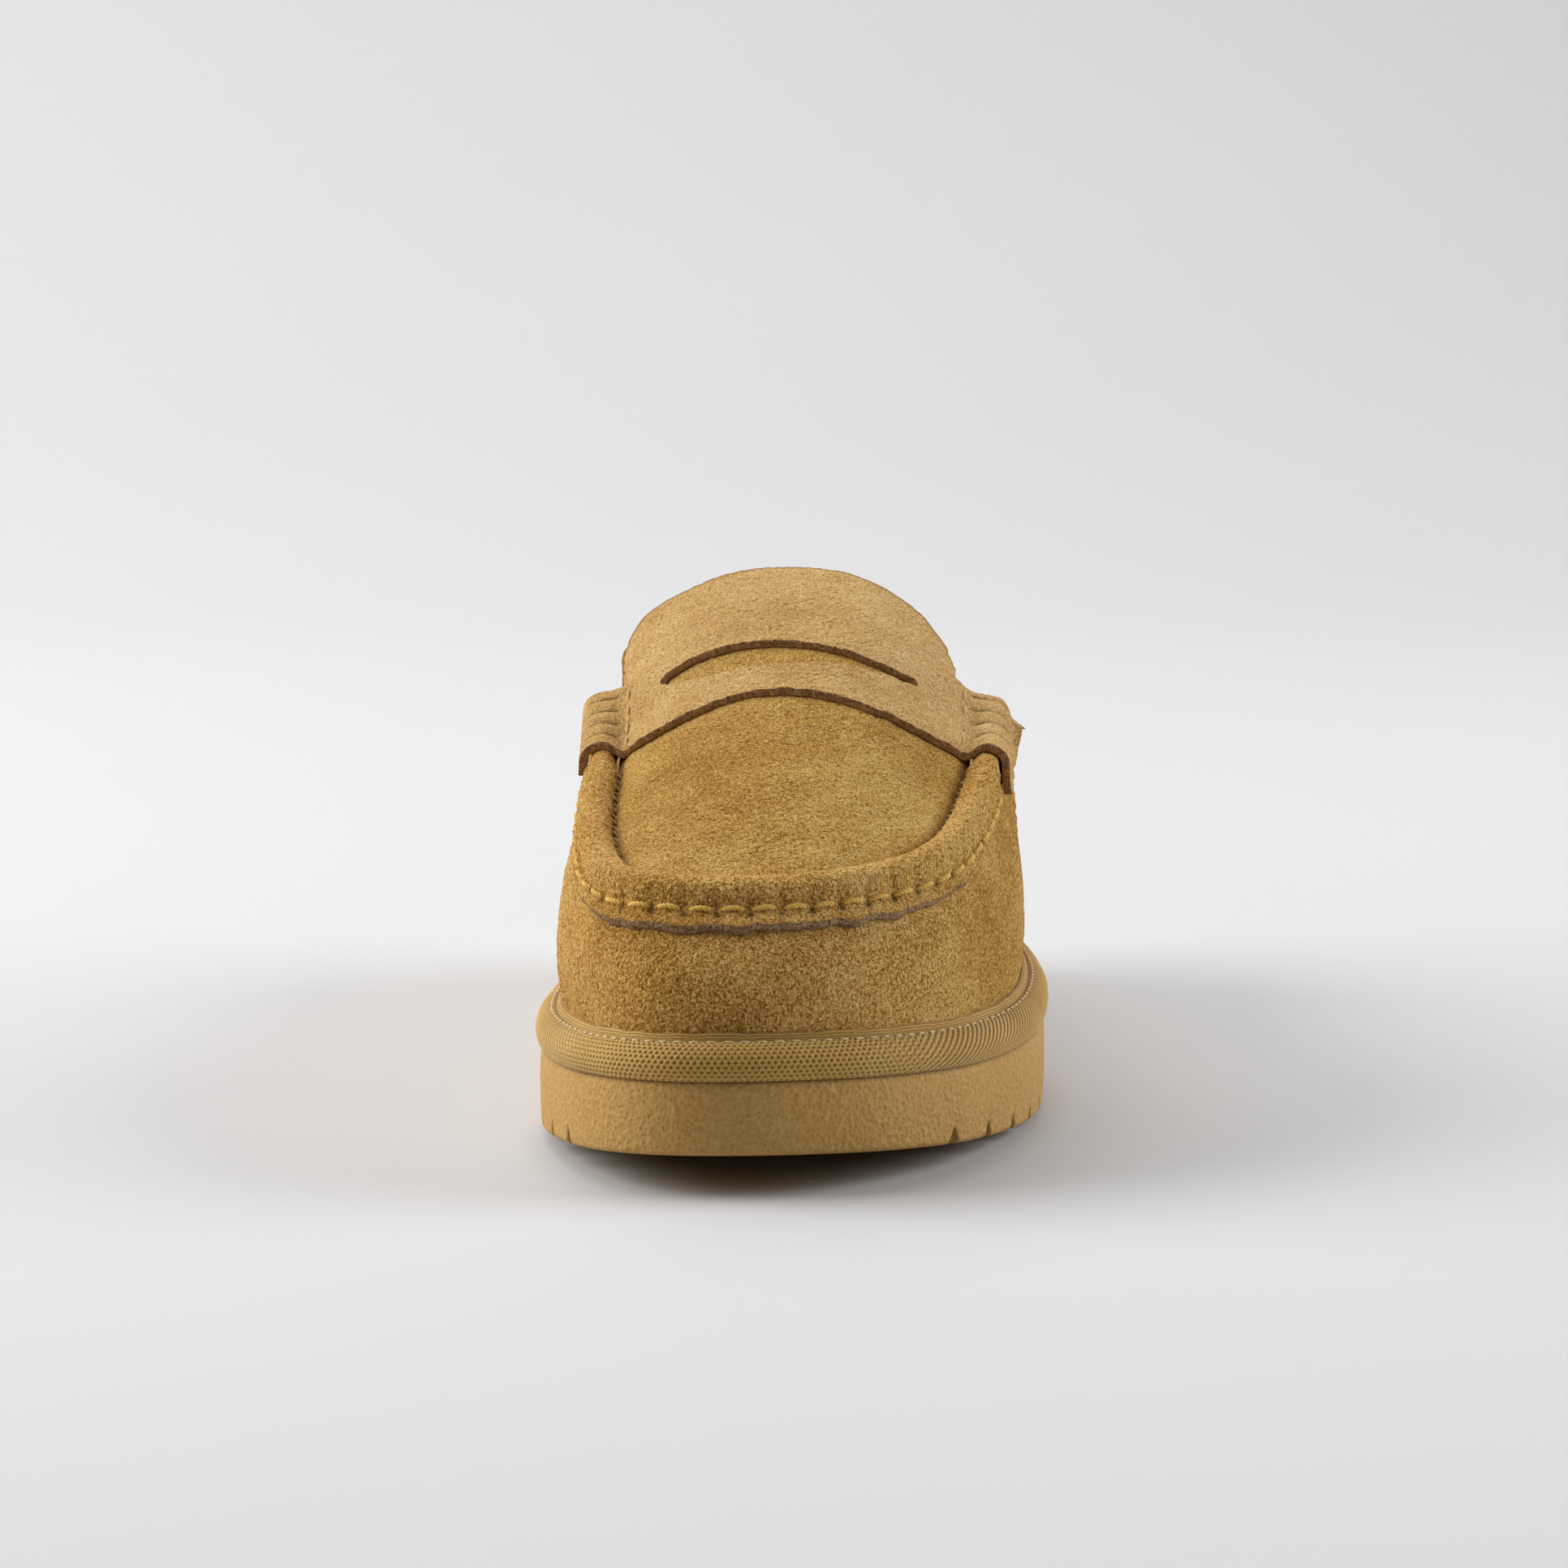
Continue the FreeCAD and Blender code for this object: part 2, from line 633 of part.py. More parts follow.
def roll_grid(depth, skirt_offset):
    """Face of the roll at a depth below its skin, with a skirt down the wall."""
    rows = []
    for share in spaced(0, 1, 96):
        turn = throat_turn(share)
        centre, outward = seam_frame(turn)
        radius = roll_radius(centre[1]) - depth
        row = [arc_point(centre, outward, radius, math.radians(angle))
               for angle in (184, 160, 135, 110, 85, 60, 35, 10, -12)]
        top_drop, low_drop = 0.9, 3.0 + 0.8 * smooth(30, 60, centre[1])
        skirt = []
        for drop in (top_drop, top_drop + (low_drop - top_drop) / 2, low_drop):
            point = wall_offset(turn, level_below_top(turn, drop), skirt_offset)
            out = (point[0] - centre[0]) * outward[0] + (point[1] - centre[1]) * outward[1]
            skirt.append(step_out(centre, outward, out, point[2] - centre[2]))
        gap = subtract(skirt[0], row[-1])
        rows.append(row + [add(row[-1], gap, 1 / 3), add(row[-1], gap, 2 / 3)] + skirt)
    return rows


def build_seam_cord():
    """Round cord inside the roll, with flat ends just short of the roll's."""
    sides = 16
    grid = []
    for share in spaced(0.0, 1.0, 96):
        centre, outward = seam_frame(throat_turn(0.004 + 0.992 * share))
        radius = CORD_R - PINCH * pinch(centre[1])
        grid.append([arc_point(centre, outward, radius, 2 * math.pi * j / sides)
                     for j in range(sides + 1)])
    skin = surface(grid)
    ends = [Part.Face(Part.Wire([skin.uIso(u).toShape()])) for u in skin.bounds()[:2]]
    shell = Part.makeShell([skin.toShape()] + ends)
    shell.sewShape()
    solid = Part.makeSolid(shell.Shells[0] if shell.Shells else shell)
    if solid.Volume < 0:
        solid.reverse()
    return solid


# ---------------------------------------------------------------- saddle strap
# strap edges and slot edges as (x, dist), medial to lateral
STRAP_FRONT = [(-45, 95.6), (-37.8, 92.6), (-31, 91.0), (-22, 90.2), (-13.9, 90.0), (-5.6, 89.9),
               (1.3, 89.4), (9.5, 88.6), (17, 88.0), (24.6, 88.0), (32.9, 89.2), (38.6, 91.4),
               (45, 94.6)]
STRAP_REAR = [(-45, 122.2), (-34, 122.6), (-21, 122.4), (-12.7, 121.7), (-1.5, 121.2),
              (9, 121.0), (19.7, 120.4), (30, 120.0), (45, 120.2)]
SLOT_REAR = [(-29.4, 111.6), (-22.5, 111.7), (-14.1, 110.9), (-5.7, 110.0), (1.3, 109.1),
             (9.7, 107.9), (18.1, 107.0), (25.0, 106.8), (28.0, 106.9)]
SLOT_FRONT = [(-29.4, 108.6), (-25.9, 105.8), (-20.2, 102.9), (-10.5, 100.7), (-1.5, 100.0),
              (9.6, 101.2), (16.6, 102.6), (22.6, 103.8), (28.0, 104.7)]
STRAP_END_X = 42.0        # x at which the edges give the dist of the strap ends
SLOT_CUT_Z = 70           # foot of the slot cutter, below the strap


def through(points):
    return Spline(*zip(*points))


strap_front, strap_rear = through(STRAP_FRONT), through(STRAP_REAR)


def strap_dist(x, share):
    """dist on the strap, share running from its front edge to its rear edge."""
    return strap_front(x) + (strap_rear(x) - strap_front(x)) * share


def strap_over_apron(x, share, offset, edge_share):
    dist = strap_dist(x, share)
    lift = (STRAP_LIFT + offset) * (1.0 + STRAP_EDGE_RISE * edge_share)
    return x, dist, instep(x, min(dist, 121.9)) + lift


def strap_half(side, share, offset):
    """Points from the flap outside the roll, over the roll, nearly to the centre line."""
    end_dist = strap_dist(STRAP_END_X * side, share)
    centre, outward = seam_frame(turn_at(seam_loop, end_dist, side))
    # the flap flares at the lateral rear corner
    flare = smooth(0.4, 1.0, share) if side == LATERAL else 0.0
    points = [
        step_out(centre, outward, 4.2 + offset + 2.7 * flare, -6.6 + 6.4 * flare),
        step_out(centre, outward, ROLL_R + offset + 0.9 * flare, -3.4 + 2.4 * flare)]
    radius = roll_radius(centre[1]) + 0.2 + offset
    for degrees in (5, 30, 60, 92):
        angle = math.radians(degrees)
        widening = 0.75 * max(0.0, math.cos(angle))
        points.append(step_out(centre, outward, radius * math.cos(angle) + widening,
                               radius * math.sin(angle)))
    edge_x = crease_x(min(end_dist, 121.5), side)
    inner = [strap_over_apron(edge_x * edge_share, share, offset, edge_share)
             for edge_share in (0.985, 0.93, 0.865, 0.785, 0.69, 0.575, 0.445, 0.3, 0.15)]
    # halfway down the inner side of the roll
    x, dist, z = [(points[-1][k] + inner[0][k]) / 2 for k in range(3)]
    return points + [(x, dist, z + 0.3)] + inner


def strap_grid(offset):
    """Rows from the front edge to the rear edge, each from medial to lateral."""
    return [strap_half(MEDIAL, share, offset) + [strap_over_apron(0.0, share, offset, 0.0)]
            + strap_half(LATERAL, share, offset)[::-1] for share in spaced(0, 1, 12)]


def build_saddle_strap():
    strap = sheet(strap_grid(STRAP_T), strap_grid(0.0))
    stations = spaced(SLOT_FRONT[0][0], SLOT_FRONT[-1][0], 33)
    front, rear = [[place((x, edge(x), SLOT_CUT_Z)) for x in stations]
                   for edge in (through(SLOT_FRONT), through(SLOT_REAR))]
    edges = [spline_edge(front), Part.makeLine(front[-1], rear[-1]),
             spline_edge(rear), Part.makeLine(rear[0], front[0])]
    slot = Part.Face(Part.Wire(Part.__sortEdges__(edges)))
    return strap.cut(slot.extrude(Vector(0, 0, 70)))


# ---------------------------------------------------------------- tongue
# side and rear edge as (x, dist), from the medial to the lateral front corner
TONGUE_POINTS = [
    (-38.6, 129.5), (-38.7, 137.5), (-37.6, 145.0), (-35.2, 148.6), (-31.2, 149.6),
    (-25.2, 149.0), (-17.3, 149.3), (-7.4, 149.9), (2.8, 149.8), (10.0, 148.9), (17.1, 147.0),
    (23.7, 144.4), (29.4, 141.4), (33.5, 137.6), (36.0, 132.8), (37.2, 128.0)]
TONGUE_SHARES = chord_fractions(TONGUE_POINTS)
tongue_x = Spline(TONGUE_SHARES, [point[0] for point in TONGUE_POINTS])
tongue_dist = Spline(TONGUE_SHARES, [point[1] for point in TONGUE_POINTS])


def tongue_edge(share, shrink):
    """Point on the edge, moved inwards by shrink."""
    delta = 1e-3
    run_x = tongue_x(share + delta) - tongue_x(share - delta)
    run_dist = tongue_dist(share + delta) - tongue_dist(share - delta)
    length = math.hypot(run_x, run_dist)
    return (tongue_x(share) + shrink * run_dist / length,
            tongue_dist(share) - shrink * run_x / length)


def tongue_grid(rise, shrink):
    """Rows from the flex line back to the edge."""
    rows = []
    for along in spaced(0, 1, 9):
        row = []
        for share in spaced(0, 1, 33):
            edge_x, edge_dist = tongue_edge(share, shrink)
            front_x = (tongue_x(0) + shrink) * (1 - share) + (tongue_x(1) - shrink) * share
            front_dist = HINGE_DIST + 2.2 * (2 * share - 1) ** 2
            x = front_x + (edge_x - front_x) * along
            dist = front_dist + (edge_dist - front_dist) * along
            row.append((x, dist, instep(x, dist) + rise))
        rows.append(row)
    return rows


# ---------------------------------------------------------------- stitching
def stitch(start, end, radius):
    foot = place(start)
    run = place(end).sub(foot)
    return Part.makeCylinder(radius, run.Length, foot, run)


def walk(path, start, end, pitch, steps):
    """turns at equal distances along a path."""
    turns, travelled, last = [start], 0.0, path(start)
    for k in range(1, steps + 1):
        turn = start + (end - start) * k / steps
        point = path(turn)
        travelled += math.dist(point, last)
        last = point
        if travelled >= pitch:
            turns.append(turn)
            travelled -= pitch
    return turns


def stitch_run(path, turns, start_share, end_share, radius):
    """One stitch in each interval, over part of the interval."""
    return Part.makeCompound([
        stitch(path(here + (after - here) * start_share),
               path(here + (after - here) * end_share), radius)
        for here, after in zip(turns[:-1], turns[1:])])


def roll_stitch_line(turn):
    """Line just outside the roll's skirt."""
    return wall_offset(turn, level_below_top(turn, 0.6), ROLL_WALL + ROLL_GAP + 0.88)


def build_rolled_seam_stitching():
    start, end = [turn_at(seam_loop, 88.5, side) for side in (MEDIAL, LATERAL)]
    turns = walk(lambda turn: seam_frame(turn)[0], start, end, STITCH_PITCH, 900)
    return stitch_run(roll_stitch_line, turns, 0.18, 0.8, 0.45)


def cover_stitch_line(turn):
    return step_out(*sole_frame(turn), -2.2, 7.6)


def build_platform_cover_stitching():
    turns = walk(cover_stitch_line, 0.0, 0.999, 3.8, 3000)
    return stitch_run(cover_stitch_line, turns, 0.2, 0.74, 0.22)


def build_strap_end_stitching():
    """Stitches holding the strap ends round the rolls, in the inner crease."""
    first_dist, pitch, length, count = 97.4, 5.9, 3.4, 4
    rise = STRAP_T + STRAP_LIFT * (1 + STRAP_EDGE_RISE) + 0.75

    def crease_point(dist, side):
        turn = turn_at(seam_loop, dist, side)
        x, seam_dist = seam_loop(turn)
        x -= 5.4 * seam_loop.outward(turn)[0]
        return x, seam_dist, instep(x, seam_dist) + rise

    return Part.makeCompound([
        stitch(crease_point(first_dist + pitch * k, side),
               crease_point(first_dist + pitch * k + length, side), 0.4)
        for side in (MEDIAL, LATERAL) for k in range(count)])


def wall_stitches(turn_of, offset, first_level, pitch, length, count):
    """Column of stitches up the wall; turn_of gives their turn against level."""
    thread = []
    for k in range(count):
        level = first_level + pitch * k
        ends = [wall_offset(turn_of(end), end, offset) for end in (level, level + length)]
        thread.append(stitch(*ends, 0.28))
    return thread


def build_side_seam_stitching():
    """A row of stitches on either side of each side seam."""
    thread = []
    for seam in (medial_seam, lateral_seam):
        for shift in (-0.0042, 0.0042):
            thread += wall_stitches(lambda level: seam(level) + shift,
                                    0.3, 0.16, 0.052, 0.034, 15)
    return Part.makeCompound(thread)


def build_heel_strip_stitching():
    """A row of stitches inside each edge of the heel strip."""
    thread = []
    for side in (MEDIAL, LATERAL):
        thread += wall_stitches(lambda level: side * (heel_strip_half(level) - 0.0026),
                                2.0, 0.33, 0.047, 0.031, 13)
    return Part.makeCompound(thread)


# ---------------------------------------------------------------- all pieces
parts = {
    "outsole": build_outsole(),
    "platform_foam": slab(-4.4, 0.05, FOAM_H - 0.2),
    "slip_sock": slab(-8.4, SOCK_LOW, SOCK_LOW + SOCK_T),
    "footbed": slab(-10.0, FOOTBED_LOW, FOOTBED_LOW + FOOTBED_T),
    "footbed_cover": slab(-10.2, COVER_LOW, COVER_LOW + COVER_T),
    "platform_cover": sheet(cover_ring(TAPE_OUTER), cover_ring(TAPE_INNER), closed=True),
    "vamp_wall": leather_panel(medial_seam, lateral_seam, BUTT),
    "quarter_medial": leather_panel(lambda level: 0.0, medial_seam, QUARTER_BUTT),
    "quarter_lateral": leather_panel(lateral_seam, lambda level: 1.0, QUARTER_BUTT),
    "toe_puff": stiffener(turn_at(sole_loop, 46, MEDIAL), turn_at(sole_loop, 52, LATERAL),
                          [0.2, 0.35, 0.5, 0.65, 0.8], 0.1, 40),
    "heel_counter": stiffener(turn_at(sole_loop, 225, LATERAL),
                              1 + turn_at(sole_loop, 225, MEDIAL),
                              [0.1, 0.17, 0.26, 0.4, 0.55, 0.7, 0.84], 0.15, 50),
    "vamp_lining": lining_panel(medial_seam, lateral_seam, VAMP_LINING_LEVELS, 76),
    "quarter_lining": lining_panel(lateral_seam, lambda level: 1 + medial_seam(level),
                                   QUARTER_LINING_LEVELS, 90),
    "heel_strip": build_heel_strip(),
    "collar_binding": build_collar_binding(),
    "apron": sheet(apron_grid(4.0, 0.0), apron_grid(4.1, -1.6)),
    "apron_lining": sheet(apron_grid(5.2, -1.75), apron_grid(5.3, -2.65)),
    "rolled_seam": sheet(roll_grid(0.0, ROLL_WALL + ROLL_GAP), roll_grid(ROLL_WALL, ROLL_GAP),
                         flat_ends=True),
    "seam_cord": build_seam_cord(),
    "saddle_strap": build_saddle_strap(),
    "tongue": sheet(tongue_grid(0.0, 0.0), tongue_grid(-1.8, 0.0)),
    "tongue_lining": sheet(tongue_grid(-1.95, 1.2), tongue_grid(-2.85, 1.2)),
    "rolled_seam_stitching": build_rolled_seam_stitching(),
    "platform_cover_stitching": build_platform_cover_stitching(),
    "strap_end_stitching": build_strap_end_stitching(),
    "side_seam_stitching": build_side_seam_stitching(),
    "heel_strip_stitching": build_heel_strip_stitching(),
}

os.makedirs("parts", exist_ok=True)
for name, shape in parts.items():
    if len(shape.Solids) == 1:
        shape = shape.Solids[0]
    shape.exportStep("parts/" + name + ".step")
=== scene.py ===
# A suede moccasin with a saddle strap, a short tongue and a platform sole.
# Shapes are worked out in millimetres as (x, dist, z): dist runs back from the tip of the toe,
# the medial side is -x and z is up. In the scene the toe points to -Y, centred on the origin.
# "along" is a share of the way round an outline (0 at the heel, medial side first) and "rise"
# a share of the upper wall's height. Side is -1 for medial and 1 for lateral.
import math

import bmesh
import bpy
import numpy as np
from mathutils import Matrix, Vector

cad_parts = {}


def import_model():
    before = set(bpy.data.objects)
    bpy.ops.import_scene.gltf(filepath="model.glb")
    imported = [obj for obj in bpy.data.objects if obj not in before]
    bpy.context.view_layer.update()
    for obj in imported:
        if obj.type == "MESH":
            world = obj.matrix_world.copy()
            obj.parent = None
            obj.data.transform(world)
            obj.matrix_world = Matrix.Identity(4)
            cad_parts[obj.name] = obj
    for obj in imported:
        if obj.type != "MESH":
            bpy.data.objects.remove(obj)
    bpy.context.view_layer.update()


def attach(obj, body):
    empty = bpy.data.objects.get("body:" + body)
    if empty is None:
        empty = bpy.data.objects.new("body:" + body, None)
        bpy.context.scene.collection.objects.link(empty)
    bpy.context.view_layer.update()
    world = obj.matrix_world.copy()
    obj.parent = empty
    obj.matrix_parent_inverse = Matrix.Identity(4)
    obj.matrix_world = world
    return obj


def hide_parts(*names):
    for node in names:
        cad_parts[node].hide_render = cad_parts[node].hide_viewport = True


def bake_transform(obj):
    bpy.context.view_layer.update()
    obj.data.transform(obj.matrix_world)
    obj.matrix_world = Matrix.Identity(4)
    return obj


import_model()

DENSITY = 1.0
TAU = 2 * math.pi


def count(full):
    """Segments at the current density."""
    return max(4, int(round(full * DENSITY)))


# ------------------------------------------------------------------ driving sizes, millimetres
LENGTH = 294.0
X_SHIFT, Y_SHIFT = -1.0, -LENGTH / 2
TOE_SPRING, TOE_SPRING_LENGTH = 9.2, 115.0
HEEL_BEVEL, HEEL_BEVEL_LENGTH = 3.0, 30.0
TREAD_FIRST, TREAD_PITCH, TREAD_COUNT = 30.0, 15.0, 17
TREAD_WIDTH, TREAD_DEPTH = 3.2, 3.4
FOAM_HEIGHT, BOARD_THICK, FOOTBED_THICK, COVER_THICK = 6.2, 1.2, 6.0, 1.2
SUEDE_THICK, LINING_THICK, STRAP_THICK = 1.8, 1.0, 1.8
LAYER_GAP = 0.15
ROLL_RADIUS, ROLL_WALL, CORD_RADIUS = 3.75, 1.5, 2.1
STITCH_PITCH = 6.2                            # of the heavy thread in the rolled seam
FINE_PITCH = 3.3                              # of the side seams and the heel strip
OVERLAP = 4.6                                 # vamp over quarter at the side seams
GROOVE_START, GROOVE_END = 22.5, 122.0        # dist of the crease inside the rolled seam
APRON_BACK = 118.2
SEAM_ENDS = 121.6                             # dist where the rolled seam and cord end

# Outlines as (x, dist), from the heel along the medial side, round the toe and back.
# The two tables pair up point by point.
SOLE_POINTS = [
    (1.5, 294), (-13, 292), (-27, 284), (-35.5, 268), (-38.8, 245), (-40.5, 218), (-42.3, 190),
    (-45.5, 162), (-49.6, 134), (-53.2, 106), (-55.2, 82), (-54.7, 62), (-52, 46), (-48, 31),
    (-42, 16.5), (-35, 7), (-25, 1.2), (-14, 0), (-2, 2.2), (9, 6.6), (19, 12.6), (28.2, 21.5),
    (36.6, 33), (43.4, 47), (48.6, 60.5), (52.8, 75.5), (56, 96), (57.2, 118), (56, 142),
    (52.6, 168), (49.2, 194), (46.6, 220), (44, 246), (39.5, 268), (30.5, 284), (16.5, 292)]
TOPLINE_POINTS = [
    (1.5, 287), (-10.5, 285), (-20.5, 277.5), (-27, 263.5), (-30.5, 243), (-33, 218), (-36, 191),
    (-40, 164), (-42.4, 137), (-42.0, 110), (-42.4, 88), (-43, 68), (-42.4, 53), (-40.5, 39.5),
    (-36, 28.5), (-30.5, 23), (-22.5, 19.4), (-13.5, 18.5), (-3, 20), (7, 23.6), (16, 28.5),
    (24, 35), (30.8, 44), (35.2, 54), (38.6, 65.5), (41.1, 78), (43.3, 96), (44.1, 116),
    (43.8, 140), (41.2, 167), (38.2, 194), (35.7, 219), (32.8, 244), (29, 264), (21.5, 278.5),
    (12, 285.5)]
TOE_POINT = 17


# ------------------------------------------------------------------ curves
def unit(vectors):
    return vectors / np.maximum(np.linalg.norm(vectors, axis=-1, keepdims=True), 1e-12)


def push(points, directions, amount):
    """Points moved along directions by an amount each."""
    return points + directions * np.asarray(amount)[..., None]


def with_height(xy, z):
    return np.concatenate([xy, np.asarray(z)[..., None]], -1)


def smooth(start, end, value):
    share = np.clip((np.asarray(value, float) - start) / (end - start), 0, 1)
    return share * share * (3 - 2 * share)


def bell(offset, width):
    return np.exp(-(offset / width) ** 2)


def arch(samples, power=0.6):
    """Height of a stitch over its length, 0 at both ends."""
    return np.sin(math.pi * np.linspace(0, 1, samples)) ** power


def arc_lengths(points):
    steps = np.linalg.norm(np.diff(points, axis=0), axis=-1)
    return np.concatenate([[0], np.cumsum(steps)])


class Spline:
    """Natural cubic spline through numbers or arrays of numbers, straight beyond its ends."""

    def __init__(self, knots, values):
        self.knots = np.asarray(knots, float)
        self.values = np.asarray(values, float)
        size, gaps = len(self.knots), np.diff(self.knots)
        flat = self.values.reshape(size, -1)
        matrix, bends = np.eye(size), np.zeros_like(flat)
        for i in range(1, size - 1):
            matrix[i, i - 1:i + 2] = gaps[i - 1], 2 * (gaps[i - 1] + gaps[i]), gaps[i]
        bends[1:-1] = 6 * np.diff(np.diff(flat, axis=0) / gaps[:, None], axis=0)
        self.bends = np.linalg.solve(matrix, bends).reshape(self.values.shape)

    def __call__(self, where):
        where = np.asarray(where, float)
        knots, values, bends = self.knots, self.values, self.bends
        k = np.clip(np.searchsorted(knots, where, side="right") - 1, 0, len(knots) - 2)
        inside = np.clip(where, knots[0], knots[-1])

        def spread(array):
            return array.reshape(array.shape + (1,) * (values.ndim - 1))

        gap = spread(knots[k + 1] - knots[k])
        before, after = spread(knots[k + 1] - inside) / gap, spread(inside - knots[k]) / gap
        result = before * values[k] + after * values[k + 1] + (
            (before ** 3 - before) * bends[k] + (after ** 3 - after) * bends[k + 1]) * gap * gap / 6
        first, last = knots[1] - knots[0], knots[-1] - knots[-2]
        slope_in = (values[1] - values[0]) / first - first * (2 * bends[0] + bends[1]) / 6
        slope_out = (values[-1] - values[-2]) / last + last * (2 * bends[-1] + bends[-2]) / 6
        return (result + spread(np.minimum(where - knots[0], 0)) * slope_in
                + spread(np.maximum(where - knots[-1], 0)) * slope_out)


class Outline:
    """Closed curve through (x, dist) points."""
    WRAP = 6                                  # points repeated past each end

    def __init__(self, points, shares):
        size = len(points)
        around = range(-self.WRAP, size + self.WRAP)
        self.spline = Spline([shares[i % size] + i // size for i in around],
                             [points[i % size] for i in around])

    def __call__(self, along):
        return self.spline(np.asarray(along, float) % 1.0)

    def outward(self, along):
        along, step = np.asarray(along), 1e-4
        tangent = unit(self(along + step) - self(along - step))
        return np.stack([tangent[..., 1], -tangent[..., 0]], -1)


chords = [math.dist(point, SOLE_POINTS[(i + 1) % len(SOLE_POINTS)])
          for i, point in enumerate(SOLE_POINTS)]
PERIMETER = sum(chords)
POINT_SHARES = [sum(chords[:i]) / PERIMETER for i in range(len(chords))]
SOLE = Outline(SOLE_POINTS, POINT_SHARES)
TOPLINE = Outline(TOPLINE_POINTS, POINT_SHARES)
TOE_ALONG = POINT_SHARES[TOE_POINT]

# Heights over dist: top of the platform, top edge of the wall, middle of the instep.
platform_z = Spline(
    [0, 12, 24, 36, 50, 65, 80, 110, 150, 200, 250, 294],
    [25.1, 24.0, 22.95, 22.1, 21.4, 21.0, 20.9, 21.3, 22.6, 24.4, 26.4, 28.2])
topline_z = Spline(
    [18.5, 28, 39.5, 55, 75, 95, 110, 124, 140, 160, 180, 200, 220, 240, 260, 275, 287],
    [61.5, 62.4, 64.5, 68.2, 73.8, 79.5, 83.9, 87.9, 87.0, 83, 80, 78.5, 79, 82, 86.5, 90, 92.5])
crown_z = Spline([22, 30, 40, 52, 66, 88, 105, 122, 136, 150],
                 [62.0, 66.0, 71.5, 77.8, 84.4, 94.0, 101.4, 108.4, 113.8, 118.0])


def param_at(outline, dist, side):
    """Share round an outline where one side reaches a dist."""
    low, high = (1e-6, TOE_ALONG) if side < 0 else (TOE_ALONG, 1 - 1e-6)
    for _ in range(50):
        middle = (low + high) / 2
        later = (outline(middle)[..., 1] > dist) == (side < 0)
        low, high = np.where(later, middle, low), np.where(later, high, middle)
    return (low + high) / 2


def pinch(dist):
    """0 in front of the strap, 1 under it, where the roll is pressed thinner."""
    return smooth(86, 94, dist)


def groove_lift(dist):
    return 0.7 + 3.0 * smooth(97, 122, dist)


def groove(along, inset=4.0):
    """The crease inside the rolled seam."""
    xy = TOPLINE(along)
    return with_height(xy - inset * TOPLINE.outward(along),
                       topline_z(xy[..., 1]) + groove_lift(xy[..., 1]))


GROOVE_DISTS = np.arange(GROOVE_START, GROOVE_END + 0.01, 0.25)


def groove_table(side):
    line = groove(np.linspace(1e-6 if side < 0 else 1 - 1e-6, TOE_ALONG, 4000))
    order = np.argsort(line[:, 1])
    return np.interp(GROOVE_DISTS, line[order, 1], line[order, 0])


GROOVE_TABLES = {side: groove_table(side) for side in (-1, 1)}


def groove_x(dist, side):
    return np.interp(np.minimum(dist, GROOVE_END), GROOVE_DISTS, GROOVE_TABLES[side])


def instep_z(x, dist):
    """Crowned surface between the grooves, carried on behind them for the tongue."""
    x, dist = np.broadcast_arrays(np.asarray(x, float), np.asarray(dist, float))
    left, right = groove_x(dist, -1), groove_x(dist, 1)
    half = np.maximum((right - left) / 2, 1.0)
    across = np.minimum(np.abs((x - (left + right) / 2) / half), 1.0)
    edge = (topline_z(np.minimum(dist, GROOVE_END)) + groove_lift(dist)
            + np.maximum(dist - GROOVE_END, 0) * 0.42)
    power = 2.0 + 0.5 * smooth(97, 120, dist)
    z = edge + (crown_z(dist) - edge) * (1 - across ** power)
    return np.where(dist <= GROOVE_START, topline_z(dist) + 0.7, z)


# ------------------------------------------------------------------ upper wall
def wall_base(along):
    xy = SOLE(along)
    return with_height(xy - 5.2 * SOLE.outward(along), platform_z(xy[..., 1]) + 6.6)


def wall_top(along):
    xy = TOPLINE(along)
    dist = xy[..., 1]
    front = 1 - smooth(112, 136, dist)
    out = 0.4 + 1.8 * (front - 0.55 * pinch(dist) * front)
    return with_height(push(xy, TOPLINE.outward(along), out), topline_z(dist) - 3.0 * front)


def wall_height(along):
    return wall_top(along)[..., 2] - wall_base(along)[..., 2]


def wall(along, rise):
    along, rise = np.broadcast_arrays(np.asarray(along, float), np.asarray(rise, float))
    base = wall_base(along)
    span = wall_top(along) - base
    back = smooth(215, 285, base[..., 1])
    flatter = np.where(base[..., 0] > 0, 1.3, 0.0) * smooth(30, 60, base[..., 1]) * (1 - back)
    bulge = 3.0 - flatter + 2.2 * back
    above, below = np.clip(rise, 0, None), np.clip(1 - rise, 0, None)
    belly = bulge * 4.6 * above ** 1.25 * below ** 1.4
    points = push(base, span, rise)
    points[..., :2] = push(push(base[..., :2], span[..., :2], above ** 2.2),
                           SOLE.outward(along), belly)
    return points


def wall_normal(along, rise):
    along, rise = np.broadcast_arrays(np.asarray(along, float), np.asarray(rise, float))
    step = 1e-3
    normal = unit(np.cross(
        wall(along + step, rise) - wall(along - step, rise),
        wall(along, np.minimum(1, rise + step)) - wall(along, np.maximum(0, rise - step))))
    outward = SOLE.outward(along)
    return normal * np.sign((normal[..., :2] * outward).sum(-1))[..., None]


def wall_at(along, rise, out):
    return push(wall(along, rise), wall_normal(along, rise), out)


# Side seams slope from the top edge of the wall back down to its base.
SEAM_TOP_DIST, SEAM_BASE_DIST = 131.0, 158.0
SEAMS = {side: (param_at(TOPLINE, SEAM_TOP_DIST, side), param_at(SOLE, SEAM_BASE_DIST, side))
         for side in (-1, 1)}


def seam(side, rise):
    top, base = SEAMS[side]
    return base + (top - base) * rise


def lap(from_seam):
    """How far the vamp is lifted over the quarter, from_seam running into the vamp."""
    return 1.95 * (1 - smooth(0.4, 9.0, from_seam))


